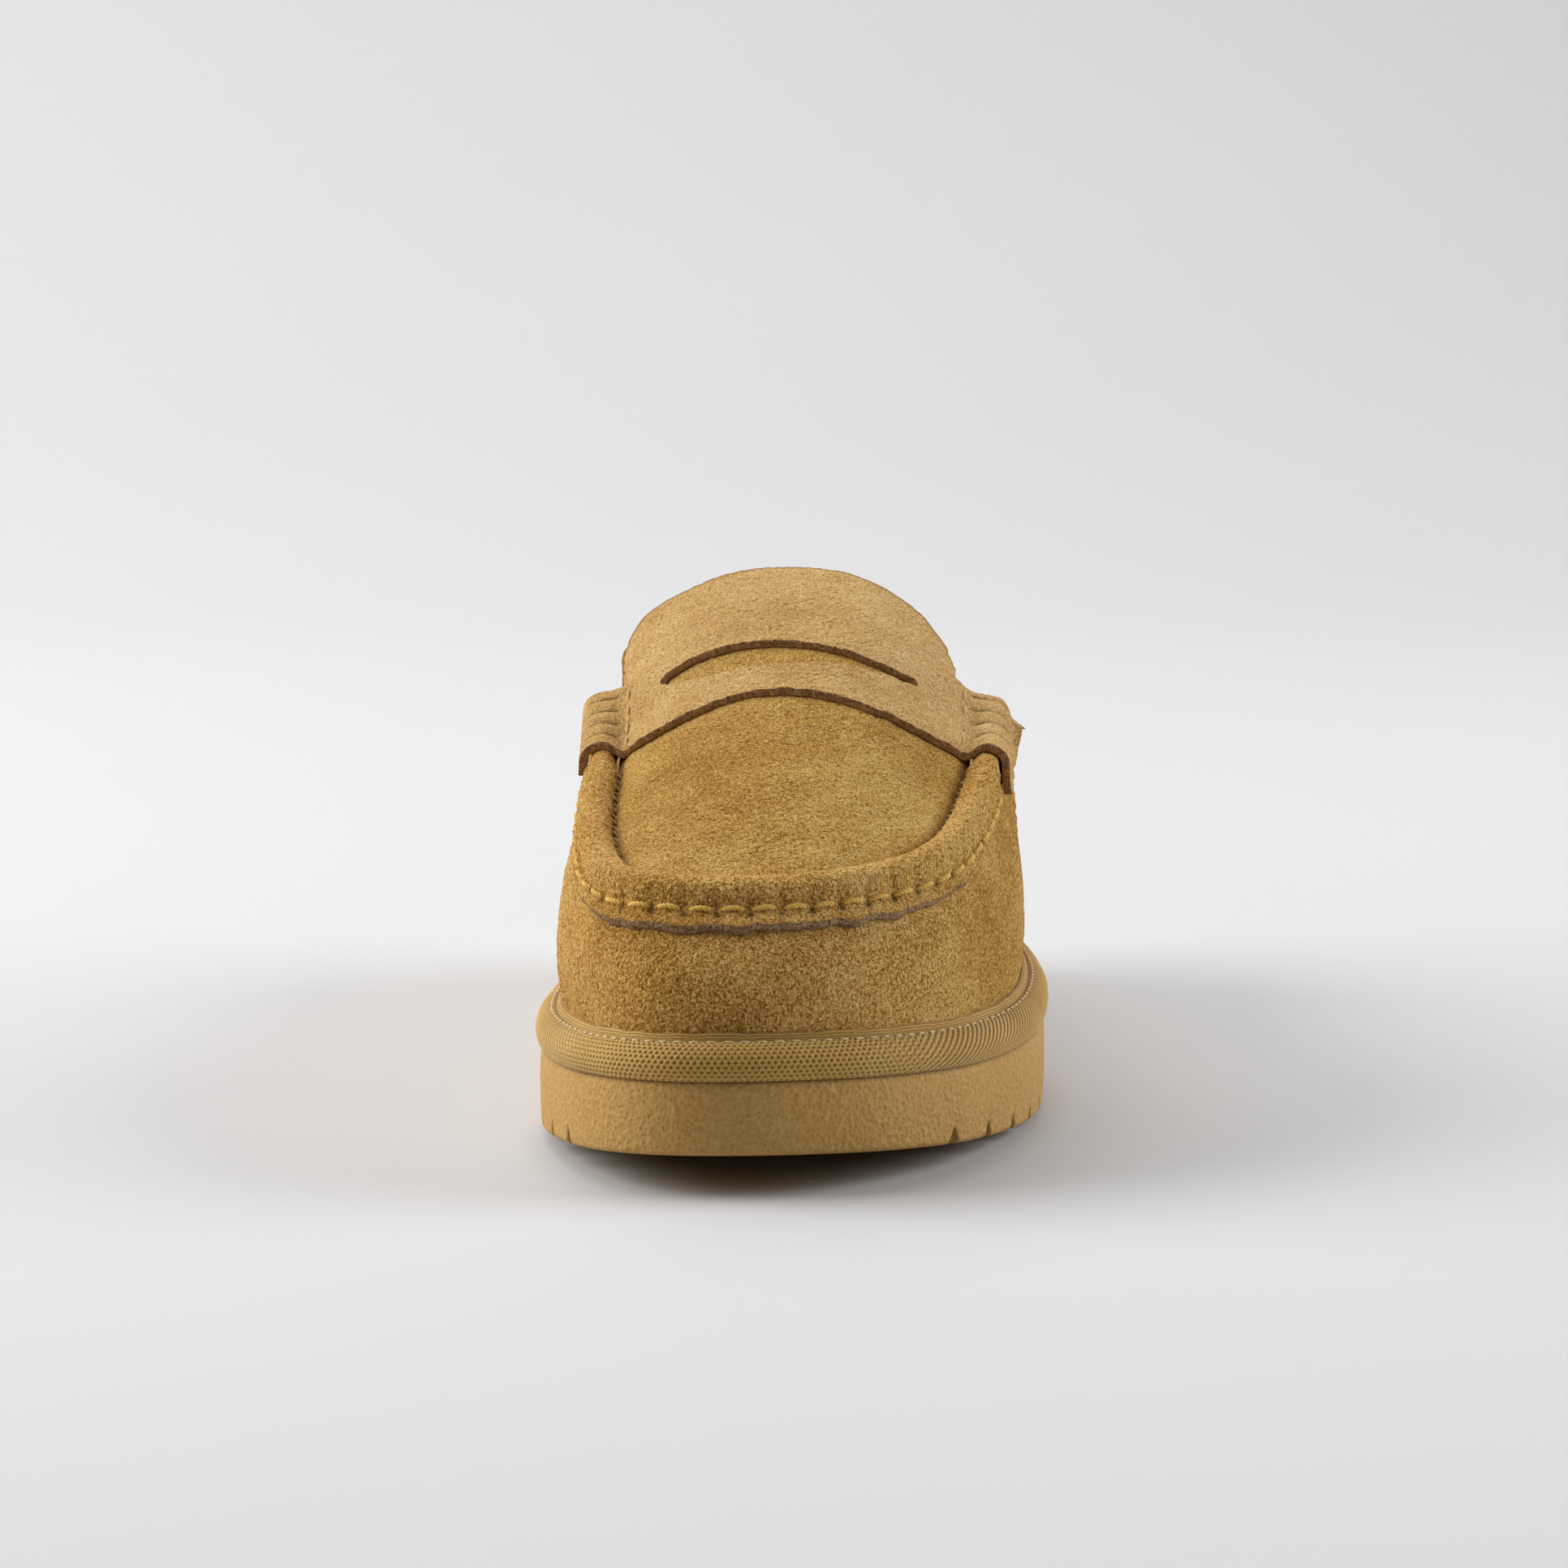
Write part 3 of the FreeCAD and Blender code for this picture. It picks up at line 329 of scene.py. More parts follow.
# ------------------------------------------------------------------ value noise
def lattice_value(i, j, k, seed):
    with np.errstate(over="ignore"):
        mixed = (i.astype(np.uint32) * np.uint32(374761393)
                 + j.astype(np.uint32) * np.uint32(668265263)
                 + k.astype(np.uint32) * np.uint32(2246822519)
                 + np.uint32(seed) * np.uint32(3266489917))
        mixed = (mixed ^ (mixed >> np.uint32(13))) * np.uint32(1274126177)
        mixed = mixed ^ (mixed >> np.uint32(16))
    return mixed.astype(np.float64) / 4294967295.0 * 2 - 1


def noise(points, size, seed=0):
    """Smooth noise in -1..1 with features of about the given size."""
    scaled = np.asarray(points, float) / size + 1000.0
    floor = np.floor(scaled)
    part = scaled - floor
    part = part * part * part * (part * (part * 6 - 15) + 10)
    cell = [floor[..., axis].astype(np.int64) for axis in range(3)]
    total = 0.0
    for a in (0, 1):
        weight_a = part[..., 0] if a else 1 - part[..., 0]
        for b in (0, 1):
            weight_b = part[..., 1] if b else 1 - part[..., 1]
            for c in (0, 1):
                weight_c = part[..., 2] if c else 1 - part[..., 2]
                total = total + weight_a * weight_b * weight_c * lattice_value(
                    cell[0] + a, cell[1] + b, cell[2] + c, seed)
    return total


def line_noise(position, size, seed):
    return noise(np.stack([position, 0 * position, 0 * position], -1), size, seed)


def suede_relief(points, seed, soft, grain):
    """Soft undulation of the hide plus its fine grain."""
    return (soft * (noise(points, 34, seed) + 0.5 * noise(points, 15, seed + 1))
            + 0.10 * noise(points, 5.5, seed + 2)
            + 1.6 * grain * (0.6 * noise(points, 1.9, seed + 3)
                             + 1.3 * noise(points, 0.8, seed + 4)))


def dimples(x, dist, table):
    """Sum of round bumps, table rows being (x, dist, radius, height)."""
    return sum(height * bell(np.hypot(x - at_x, dist - at_dist), radius)
               for at_x, at_dist, radius, height in table)


# ------------------------------------------------------------------ mesh tools
NO_TRIS = np.zeros((0, 3), int)


def world(points):
    moved = np.asarray(points, float).reshape(-1, 3).copy()
    moved[:, :2] += X_SHIFT, Y_SHIFT
    return moved / 1000.0


def outward_faces(points, quads, tris):
    """Turns every face over if the closed mesh is inside out."""
    triangles = np.concatenate([quads[:, [0, 1, 2]], quads[:, [0, 2, 3]], tris])
    a, b, c = (points[triangles[:, corner]] for corner in range(3))
    if np.einsum("ij,ij->i", a, np.cross(b, c)).sum() < 0:
        return quads[:, ::-1], tris[:, ::-1]
    return quads, tris


def make_mesh(name, points, quads, tris, materials, replaces,
              face_slots=None, attributes=None, rides=True, turn_outward=True):
    points = world(points)
    if turn_outward:
        quads, tris = outward_faces(points, quads, tris)
    quads, tris = np.asarray(quads, np.int32), np.asarray(tris, np.int32)
    mesh = bpy.data.meshes.new(name)
    mesh.vertices.add(len(points))
    mesh.vertices.foreach_set("co", np.asarray(points, np.float32).ravel())
    mesh.loops.add(quads.size + tris.size)
    mesh.loops.foreach_set("vertex_index", np.concatenate([quads.ravel(), tris.ravel()]))
    mesh.polygons.add(len(quads) + len(tris))
    starts = np.concatenate([np.arange(len(quads)) * 4, quads.size + np.arange(len(tris)) * 3])
    mesh.polygons.foreach_set("loop_start", starts.astype(np.int32))
    if face_slots is not None:
        mesh.polygons.foreach_set("material_index", np.asarray(face_slots, np.int32))
    mesh.update(calc_edges=True)
    mesh.validate(clean_customdata=False)
    shade_smooth(mesh)
    for key, values in (attributes or {}).items():
        attribute = mesh.attributes.new(key, "FLOAT", "POINT")
        attribute.data.foreach_set("value", np.asarray(values, np.float32).ravel())
    for material in materials:
        mesh.materials.append(material)
    piece = bpy.data.objects.new(name, mesh)
    bpy.context.scene.collection.objects.link(piece)
    if rides:
        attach(piece, "shoe")
    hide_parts(replaces)
    return piece


def shade_smooth(mesh):
    mesh.polygons.foreach_set("use_smooth", np.ones(len(mesh.polygons), bool))


def close_on_spine(piece):
    """Merges the points that meet on the spine and fills what is left open."""
    mesh = bmesh.new()
    mesh.from_mesh(piece.data)
    bmesh.ops.remove_doubles(mesh, verts=mesh.verts, dist=0.00003)
    loose = [edge for edge in mesh.edges if len(edge.link_faces) < 2]
    if loose:
        bmesh.ops.holes_fill(mesh, edges=loose, sides=0)
    bmesh.ops.recalc_face_normals(mesh, faces=mesh.faces)
    mesh.to_mesh(piece.data)
    mesh.free()
    shade_smooth(piece.data)


def grid_quads(rows, cols, first=0, closed=False):
    a, b = np.meshgrid(np.arange(rows if closed else rows - 1), np.arange(cols - 1), indexing="ij")
    c = (a + 1) % rows
    corners = [a * cols + b, c * cols + b, c * cols + b + 1, a * cols + b + 1]
    return (np.stack(corners, -1) + first).reshape(-1, 4)


def grid_normal(grid, probe=None):
    """Normals of a grid, turned so that the one at the probe points up."""
    normal = unit(np.cross(np.gradient(grid, axis=0), np.gradient(grid, axis=1)))
    return -normal if probe and normal[probe][2] < 0 else normal


def share_grid(rows, cols, row_range=(0, 1), col_range=(0, 1)):
    return np.meshgrid(np.linspace(*row_range, count(rows)),
                       np.linspace(*col_range, count(cols)), indexing="ij")


def control_spline(columns, samples):
    """Resamples control columns (rows, columns, 3); all rows share the knots."""
    steps = np.linalg.norm(np.diff(columns, axis=1), axis=-1).mean(0)
    knots = np.concatenate([[0], np.cumsum(steps)])
    spline = Spline(knots / knots[-1], columns.transpose(1, 0, 2))
    return spline(np.linspace(0, 1, samples)).transpose(1, 0, 2)


def edge_band(outer_ring, inner_ring, outer, inner, away, steps, swell, first):
    """Rounded band between two rings of points; swell(k, share) is its bulge."""
    size = len(outer_ring)
    points, shares, rows = [], [], [outer_ring]
    for k in range(1, steps):
        share = k / steps
        points.append(outer + (inner - outer) * share + away * swell(k, share))
        shares.append(np.full(size, share))
        rows.append(first + (k - 1) * size + np.arange(size))
    rows.append(inner_ring)
    quads = [np.stack([a, np.roll(a, -1), np.roll(b, -1), b], -1) for a, b in zip(rows, rows[1:])]
    return points, shares, np.concatenate(quads)


def sheet_piece(name, outer, inner, materials, replaces, painted_shade=None, rim=None,
                closed=False, bulge=0.16, rides=True):
    """Closed sheet from two grids with rounded cut edges in its last material.
    Its attributes are side (0 outer, 1 inner), painted_shade (shade painted into creases and
    hollows) and, where given, rim."""
    rows, cols = outer.shape[:2]
    total = rows * cols
    index = np.arange(total).reshape(rows, cols)
    outer, inner = outer.reshape(-1, 3), inner.reshape(-1, 3)
    points, sides = [outer, inner], [np.zeros(total), np.ones(total)]
    quads = [grid_quads(rows, cols, 0, closed), grid_quads(rows, cols, total, closed)[:, ::-1]]
    if closed:
        rings = [index[:, 0], index[::-1, -1]]
    else:
        rings = [np.concatenate([index[:, 0], index[-1, 1:], index[-2::-1, -1],
                                 index[0, -2:0:-1]])]
    edge_quads, first = [], 2 * total
    for ring in rings:
        row = ring // cols if closed else np.clip(ring // cols, 1, rows - 2)
        neighbour = row * cols + np.clip(ring % cols, 1, cols - 2)
        new_points, shares, band = edge_band(
            ring, ring + total, outer[ring], inner[ring], unit(outer[ring] - outer[neighbour]),
            4, lambda _, share: math.sin(math.pi * share) ** 0.7 * bulge, first)
        points += new_points
        sides += shares
        edge_quads.append(band[:, [1, 0, 3, 2]])
        first += len(ring) * len(new_points)
    edge_quads = np.concatenate(edge_quads)
    face_slots = np.repeat([0, len(materials) - 1], [len(quads[0]) * 2, len(edge_quads)])
    attributes = {"side": np.concatenate(sides), "painted_shade": np.zeros(first)}
    if painted_shade is not None:
        attributes["painted_shade"][:2 * total] = np.tile(painted_shade.ravel(), 2)
    if rim is not None:
        attributes["rim"] = np.zeros(first)
        attributes["rim"][:total] = rim.ravel()
    return make_mesh(name, np.concatenate(points), np.concatenate(quads + [edge_quads]), NO_TRIS,
                     materials, replaces, face_slots, attributes, rides)


def path_frame(path):
    tangent = unit(np.gradient(path, axis=0))
    steep = abs(tangent[len(path) // 2, 2]) >= 0.8
    across = unit(np.cross(tangent, np.array([1.0, 0, 0] if steep else [0.0, 0.0, 1.0])))
    return across, np.cross(tangent, across)


def rod(centres, across, upward, radii, sides, first=0):
    """Round rod with fans over its ends; radii is (points, sides) or (points, 1)."""
    angle = (np.arange(sides) / sides * TAU)[None, :, None]
    rings = centres[:, None] + radii[..., None] * (
        across[:, None] * np.cos(angle) + upward[:, None] * np.sin(angle))
    size = len(centres)
    i, j = np.arange(size - 1)[:, None], np.arange(sides)[None]
    after = (j + 1) % sides
    quads = np.stack([i * sides + j, i * sides + after,
                      (i + 1) * sides + after, (i + 1) * sides + j], -1).reshape(-1, 4)
    j, after, last = j[0], after[0], (size - 1) * sides
    tris = np.concatenate([np.stack([np.full(sides, size * sides), after, j], -1),
                           np.stack([np.full(sides, size * sides + 1), last + j, last + after],
                                    -1)])
    points = np.concatenate([rings.reshape(-1, 3), centres[:1], centres[-1:]])
    return points, quads + first, tris + first


def thread_piece(name, paths, radius, material, replaces, plies=3, twist=1.9, sides=7):
    """One rod per path, or several plies twisted round it (plies=0 for a plain rod)."""
    parts, first = [], 0
    for path in paths:
        size = len(path)
        across, upward = path_frame(path)
        from_end = np.minimum(np.arange(size), np.arange(size)[::-1]) + 0.35
        taper = radius * np.clip(from_end / 1.6, 0.3, 1) ** 0.5
        lengths = arc_lengths(path)
        for ply in range(max(plies, 1)):
            centres, radii = path, taper
            if plies:
                turn = TAU * ply / plies + twist * lengths
                centres = push(push(path, across, taper * 0.48 * np.cos(turn)),
                               upward, taper * 0.48 * np.sin(turn))
                radii = taper * 0.62
            parts.append(rod(centres, across, upward, radii[:, None], sides, first))
            first += len(parts[-1][0])
    points, quads, tris = (np.concatenate(group) for group in zip(*parts))
    make_mesh(name, points, quads, tris, [material], replaces)


# ------------------------------------------------------------------ materials
def srgb(*channels):
    def linear(value):
        value /= 255.0
        return value / 12.92 if value <= 0.04045 else ((value + 0.055) / 1.055) ** 2.4
    return tuple(linear(value) for value in channels) + (1.0,)


class Shader:
    """A Principled material; most methods add a node and return its output."""

    def __init__(self, name):
        self.material = bpy.data.materials.new(name)
        self.material.use_nodes = True
        self.tree = self.material.node_tree
        self.tree.nodes.clear()
        output = self.node("OutputMaterial")
        self.bsdf = self.node("BsdfPrincipled")
        self.feed(output.inputs[0], self.bsdf.outputs[0])

    def node(self, kind):
        return self.tree.nodes.new("ShaderNode" + kind)

    def feed(self, socket, value):
        if isinstance(value, bpy.types.NodeSocket):
            self.tree.links.new(value, socket)
        else:
            socket.default_value = value

    def coords(self, scale=(1, 1, 1), rotation=(0, 0, 0)):
        source, mapping = self.node("TexCoord"), self.node("Mapping")
        self.feed(mapping.inputs["Scale"], scale)
        self.feed(mapping.inputs["Rotation"], rotation)
        self.feed(mapping.inputs["Vector"], source.outputs["Object"])
        return mapping.outputs[0]

    def noise(self, place, scale, detail=2.0, roughness=0.55, distortion=0.0):
        texture = self.node("TexNoise")
        self.feed(texture.inputs["Vector"], place)
        self.feed(texture.inputs["Scale"], scale)
        self.feed(texture.inputs["Detail"], detail)
        self.feed(texture.inputs["Roughness"], roughness)
        self.feed(texture.inputs["Distortion"], distortion)
        return texture.outputs["Fac"]

    def voronoi(self, place, scale, feature="F1"):
        texture = self.node("TexVoronoi")
        texture.feature = feature
        self.feed(texture.inputs["Vector"], place)
        self.feed(texture.inputs["Scale"], scale)
        return texture.outputs["Distance"]

    def math(self, operation, first, second, clamp=False):
        node = self.node("Math")
        node.operation = operation
        node.use_clamp = clamp
        self.feed(node.inputs[0], first)
        self.feed(node.inputs[1], second)
        return node.outputs[0]

    def add(self, first, second, clamp=False):
        return self.math("ADD", first, second, clamp)

    def times(self, first, second, clamp=False):
        return self.math("MULTIPLY", first, second, clamp)

    def centred(self, value, gain):
        """Swing of a 0..1 value about its middle."""
        return self.times(self.math("SUBTRACT", value, 0.5), gain)

    def ramp(self, value, *stops):
        node = self.node("ValToRGB")
        self.feed(node.inputs[0], value)
        elements = node.color_ramp.elements
        while len(elements) > 1:
            elements.remove(elements[-1])
        elements[0].position, elements[0].color = stops[0]
        for position, colour in stops[1:]:
            elements.new(position).color = colour
        return node.outputs[0]

    def mix(self, share, first, second):
        node = self.node("Mix")
        node.data_type = "RGBA"
        node.blend_type = "MIX"
        # sockets 0, 6 and 7 are the factor and the two colours, output 2 the colour
        for socket, value in ((0, share), (6, first), (7, second)):
            self.feed(node.inputs[socket], value)
        return node.outputs[2]

    def attribute(self, name):
        node = self.node("Attribute")
        node.attribute_name = name
        return node.outputs["Fac"]

    def paint_shade(self, colour, strength, shadow):
        """Blends to the shadow colour where the mesh carries painted shade (creases, holes, pits
        and grooves).
        """
        return self.mix(self.times(self.attribute("painted_shade"), strength, clamp=True), colour, shadow)

    def bump(self, height, strength, distance):
        node = self.node("Bump")
        self.feed(node.inputs["Strength"], strength)
        self.feed(node.inputs["Distance"], distance)
        self.feed(node.inputs["Height"], height)
        self.feed(self.bsdf.inputs["Normal"], node.outputs[0])

    def surface(self, colour, roughness, specular, sheen=0.0):
        self.feed(self.bsdf.inputs["Base Color"], colour)
        self.feed(self.bsdf.inputs["Roughness"], roughness)
        self.feed(self.bsdf.inputs["Specular IOR Level"], specular)
        self.feed(self.bsdf.inputs["Sheen Weight"], sheen)


def suede(name, low, mid, high, grain=1.0, contrast=1.0, sheen=0.35, relief=1.0, underside=None):
    shader = Shader(name)
    place = shader.coords()
    patches = shader.noise(place, scale=26, detail=3, roughness=0.5)
    mottle = shader.noise(place, scale=95, detail=3, roughness=0.6)
    # two stretched noises lie across each other like brushed fibres
    fibres = shader.noise(shader.coords(scale=(1.0, 0.8, 0.42), rotation=(0.5, 0.3, 0.2)),
                          scale=2900 * grain, detail=2, roughness=0.6, distortion=0.6)
    crossing = shader.noise(shader.coords(scale=(0.45, 0.9, 1.0), rotation=(-0.4, 0.6, 0.5)),
                            scale=2600 * grain, detail=2, roughness=0.6, distortion=0.6)
    fibres = shader.add(shader.times(fibres, 0.6), shader.times(crossing, 0.4))
    fine = shader.noise(place, scale=1900 * grain, detail=4, roughness=0.75, distortion=0.3)
    tone = shader.add(shader.centred(fibres, gain=3.2 * contrast),
                      shader.centred(fine, gain=2.6 * contrast))
    tone = shader.add(tone, shader.centred(patches, gain=1.0))
    tone = shader.add(tone, shader.centred(mottle, gain=0.5))
    tone = shader.add(tone, 0.5, clamp=True)
    colour = shader.ramp(tone, (0.0, low), (0.5, mid), (1.0, high))
    colour = shader.paint_shade(colour, strength=0.92, shadow=srgb(60, 38, 16))
    rim = shader.times(shader.attribute("rim"), shader.add(shader.times(fine, 1.6), 0.15),
                       clamp=True)
    colour = shader.mix(shader.times(rim, 0.8), colour, srgb(150, 108, 66))
    if underside is not None:
        colour = shader.mix(shader.times(shader.attribute("side"), 0.6, clamp=True),
                            colour, underside)
    shader.surface(colour, roughness=0.97, specular=0.05, sheen=sheen)
    shader.feed(shader.bsdf.inputs["Sheen Roughness"], 0.45)
    shader.feed(shader.bsdf.inputs["Sheen Tint"], high)
    height = shader.add(shader.times(fine, 0.6), shader.times(fibres, 0.55))
    shader.bump(height, strength=relief, distance=0.0014)
    return shader.material


def leather(name, light, deep, pore_scale=420):
    shader = Shader(name)
    place = shader.coords()
    pores = shader.voronoi(place, pore_scale)
    blend = shader.noise(place, scale=60, detail=4, roughness=0.6)
    colour = shader.mix(blend, light, deep)
    colour = shader.paint_shade(colour, strength=0.85, shadow=srgb(60, 42, 24))
    shader.surface(colour, roughness=0.62, specular=0.3)
    height = shader.add(pores, shader.noise(place, scale=900, detail=3))
    shader.bump(height, strength=0.25, distance=0.0006)
    return shader.material


def outsole_rubber():
    shader = Shader("outsole_rubber")
    place = shader.coords()
    pebbles = shader.voronoi(place, scale=980, feature="SMOOTH_F1")
    fine = shader.noise(place, scale=2100, detail=3, roughness=0.6)
    broad = shader.noise(place, scale=18, detail=3, roughness=0.5)
    tone = shader.add(shader.times(fine, 0.55), shader.times(pebbles, 0.5))
    tone = shader.add(tone, shader.centred(broad, gain=0.25), clamp=True)
    colour = shader.ramp(tone, (0.1, srgb(164, 121, 54)), (0.5, srgb(186, 145, 78)),
                         (0.95, srgb(205, 168, 106)))
    colour = shader.paint_shade(colour, strength=0.9, shadow=srgb(70, 50, 28))
    shader.surface(colour, roughness=0.66, specular=0.28)
    height = shader.add(shader.times(pebbles, 0.8), shader.times(fine, 0.6))
    shader.bump(height, strength=0.7, distance=0.0008)
    return shader.material


def woven_tape():
    shader = Shader("woven_tape")
    place = shader.coords()
    fine = shader.noise(place, scale=1500, detail=3, roughness=0.65)
    broad = shader.noise(place, scale=40, detail=2)
    tone = shader.add(shader.times(fine, 0.6), shader.times(broad, 0.4))
    colour = shader.ramp(tone, (0.2, srgb(162, 124, 50)), (0.5, srgb(194, 154, 80)),
                         (0.85, srgb(220, 187, 122)))
    colour = shader.paint_shade(colour, strength=0.95, shadow=srgb(74, 48, 14))
    shader.surface(colour, roughness=0.82, specular=0.2, sheen=0.2)
    shader.bump(fine, strength=0.3, distance=0.0003)
    return shader.material


def speckled(name, low, high, scale, detail=4, grain=0.6, stops=(0.3, 0.7), roughness=0.85,
             specular=0.2, sheen=0.0, bump_distance=0.0008):
    """Plain two-tone material from one noise, flat if bump_distance is 0."""
    shader = Shader(name)
    speckle = shader.noise(shader.coords(), scale, detail, grain)
    colour = shader.ramp(speckle, (stops[0], low), (stops[1], high))
    shader.surface(colour, roughness, specular, sheen)
    if bump_distance:
        shader.bump(speckle, strength=0.3, distance=bump_distance)
    return shader.material


def thread(name, low, high):
    return speckled(name, low, high, scale=2200, detail=3, stops=(0.25, 0.75), roughness=0.6,
                    specular=0.3, sheen=0.25, bump_distance=0.0002)


# Three copies of the tan suede: this one for the walls, rolls and binding; the two below are
# lighter and paler, which paints the light falling on up-facing parts
SUEDE = suede("suede_tan", low=srgb(137, 82, 13), mid=srgb(211, 154, 69),
              high=srgb(255, 218, 144), contrast=1.2, sheen=0.34)
# lighter, yellower copy for the up-facing apron: painted light from above
SUEDE_LIT_APRON = suede("suede_tan_lit_apron", low=srgb(146, 93, 24), mid=srgb(215, 164, 80),
                    high=srgb(252, 220, 146), sheen=0.34)
# lighter, paler copy for the strap and tongue on top of the foot: painted light from above, with
# softer grain and more sheen
SUEDE_LIT_TOP = suede("suede_tan_lit_top", low=srgb(162, 112, 52), mid=srgb(218, 173, 106),
                      high=srgb(250, 220, 164), contrast=0.85, relief=0.8, sheen=0.5)
CUT_EDGE = suede("raw_cut_edge", low=srgb(104, 66, 36), mid=srgb(158, 112, 70),
                 high=srgb(206, 166, 122), grain=0.9, contrast=1.1, sheen=0.2, relief=1.1,
                 underside=srgb(206, 158, 96))
FLUFFY_EDGE = suede("raw_cut_edge_fluffy", low=srgb(108, 78, 50), mid=srgb(168, 132, 92),
                    high=srgb(206, 174, 134), grain=0.9, contrast=1.2, sheen=0.35, relief=1.2)
LINING = leather("lining_leather", srgb(208, 176, 128), srgb(186, 150, 102))
FOOTBED_LEATHER = leather("footbed_cover_leather", srgb(196, 162, 112), srgb(172, 136, 88),
                          pore_scale=380)
RUBBER = outsole_rubber()
TAPE = woven_tape()
THREAD_GOLD = thread("thread_golden", srgb(196, 146, 40), srgb(238, 200, 96))
THREAD_TAN = thread("thread_tan", srgb(186, 148, 84), srgb(222, 190, 130))
THREAD_PALE = thread("thread_pale", srgb(196, 170, 124), srgb(228, 208, 168))
FOAM = speckled("foam", srgb(206, 188, 156), srgb(224, 208, 178), scale=700)
BOARD = speckled("slip_sock_board", srgb(196, 182, 156), srgb(216, 202, 178), scale=300)
STIFFENER = speckled("stiffener", srgb(206, 200, 186), srgb(222, 216, 204), scale=200,
                     roughness=0.7)
CORD = speckled("filler_cord", srgb(206, 194, 168), srgb(228, 218, 196), scale=1500)


# ------------------------------------------------------------------ wall pieces
SEAM_ROWS = (-2.9, -0.2)                      # stitch rows, mm from the side seam into the vamp


def build_vamp():
    share, rise = share_grid(900, 120)
    start = seam(-1, rise) - OVERLAP / PERIMETER
    end = seam(1, rise) + OVERLAP / PERIMETER
    along = start + (end - start) * share
    from_seam = np.minimum(along - seam(-1, rise), seam(1, rise) - along) * PERIMETER
    base, normal = wall(along, rise), wall_normal(along, rise)
    # calmer where the platform cover and the rolled seam lie over it
    fade = smooth(0.02, 0.14, rise) * (1 - smooth(0.74, 0.88, rise))
    relief = suede_relief(base, 11, soft=0.42, grain=0.09) * (0.25 + 0.75 * fade)
    relief = np.where(rise > 0.8, np.minimum(relief, 0.05), relief)
    for row in SEAM_ROWS:
        relief = relief - 0.22 * bell(from_seam - row, 0.7)
    lift = lap(from_seam)
    sheet_piece("vamp_wall_suede", push(base, normal, lift + relief),
                push(base, normal, lift - SUEDE_THICK), [SUEDE, CUT_EDGE], "vamp_wall",
                # painted shade at the foot of the wall, down behind the platform cover's lip
                painted_shade=0.55 * (1 - smooth(0.0, 0.115, rise)) ** 2,
                rim=1 - smooth(-OVERLAP + 0.1, -OVERLAP + 0.8, from_seam))


def build_quarter(name, side, replaces, seed):
    """Side panel from the heel to the side seam, tucked under the vamp's edge."""
    gap = 0.0006                              # left open at each end, share of the outline
    share, rise = share_grid(760, 110)
    seam_along = seam(side, rise)
    start, width = (0, seam_along) if side < 0 else (seam_along, 1 - seam_along)
    along = start + gap + (width - 2 * gap) * share
    from_seam = np.abs(seam_along - along) * PERIMETER
    base, normal = wall(along, rise), wall_normal(along, rise)
    fade = smooth(0.02, 0.14, rise) * (1 - smooth(0.84, 0.95, rise))
    relief = suede_relief(base, seed, soft=0.42, grain=0.09) * (0.3 + 0.7 * fade)
    clear = smooth(OVERLAP, OVERLAP + 8, from_seam)
    relief = relief * clear + np.minimum(0.02, 0.2 * relief) * (1 - clear)
    # soft sideways crease behind the seam
    relief = relief - 0.25 * bell(from_seam - 34 - 6 * rise, 9.0) * bell(rise - 0.55, 0.3)
    sheet_piece(name, push(base, normal, relief), base - normal * SUEDE_THICK,
                [SUEDE, CUT_EDGE], replaces,
                # painted shade at the foot of the wall, down behind the platform cover's lip
                painted_shade=0.5 * (1 - smooth(0.0, 0.1, rise)) ** 2)


def inner_sheet(name, replaces, material, ends, rises, depths, counts, seed, soft=0.12):
    """Sheet inside the wall; ends(rise) gives the shares where it starts and stops."""
    share, rise = share_grid(*counts, col_range=rises)
    start, end = ends(rise)
    along = start + (end - start) * share
    base, normal = wall(along, rise), wall_normal(along, rise)
    relief = soft * noise(base, 22, seed) + 0.03 * noise(base, 3, seed + 1)
    sheet_piece(name, push(base, normal, depths[0] + relief * 0.3),
                push(base, normal, depths[1] + relief), [material], replaces,
                # painted shade along the sheet's lower edge, down inside the shoe
                painted_shade=0.35 * (1 - smooth(rises[0], rises[0] + 0.1, rise)), bulge=0.1)


def build_inner_sheets():
    behind_suede = -(SUEDE_THICK + LAYER_GAP)
    lining_face = behind_suede - 1.0 - LAYER_GAP
    lining = (lining_face, lining_face - LINING_THICK)
    butt = 0.0009                             # gap where linings meet, share of the outline
    inner_sheet("vamp_lining_leather", "vamp_lining", LINING,
                lambda rise: (seam(-1, rise) + butt, seam(1, rise) - butt),
                rises=(0.05, 0.92), depths=lining, counts=(320, 50), seed=61)
    inner_sheet("quarter_lining_leather", "quarter_lining", LINING,
                lambda rise: (seam(1, rise) + butt, 1 + seam(-1, rise) - butt),
                rises=(0.05, 0.965), depths=lining, counts=(420, 60), seed=67)
    inner_sheet("toe_puff_sheet", "toe_puff", STIFFENER,
                lambda _: (param_at(SOLE, 46, -1), param_at(SOLE, 52, 1)), rises=(0.2, 0.8),
                depths=(behind_suede - 0.1, behind_suede - 0.9), counts=(120, 26),
                seed=71, soft=0.02)
    inner_sheet("heel_counter_sheet", "heel_counter", STIFFENER,
                lambda _: (param_at(SOLE, 225, 1), 1 + param_at(SOLE, 225, -1)),
                rises=(0.1, 0.84), depths=(behind_suede - 0.15, behind_suede - 0.95),
                counts=(140, 30), seed=73, soft=0.02)


STRIP_FACE = 1.5                              # heel strip's face, mm off the wall
STRIP_STITCH = 0.84                           # share of its half width where stitches run


def strip_half_width(rise):
    """Half width of the heel strip as a share of the outline."""
    return 0.0165 * (1.25 - 0.25 * rise)


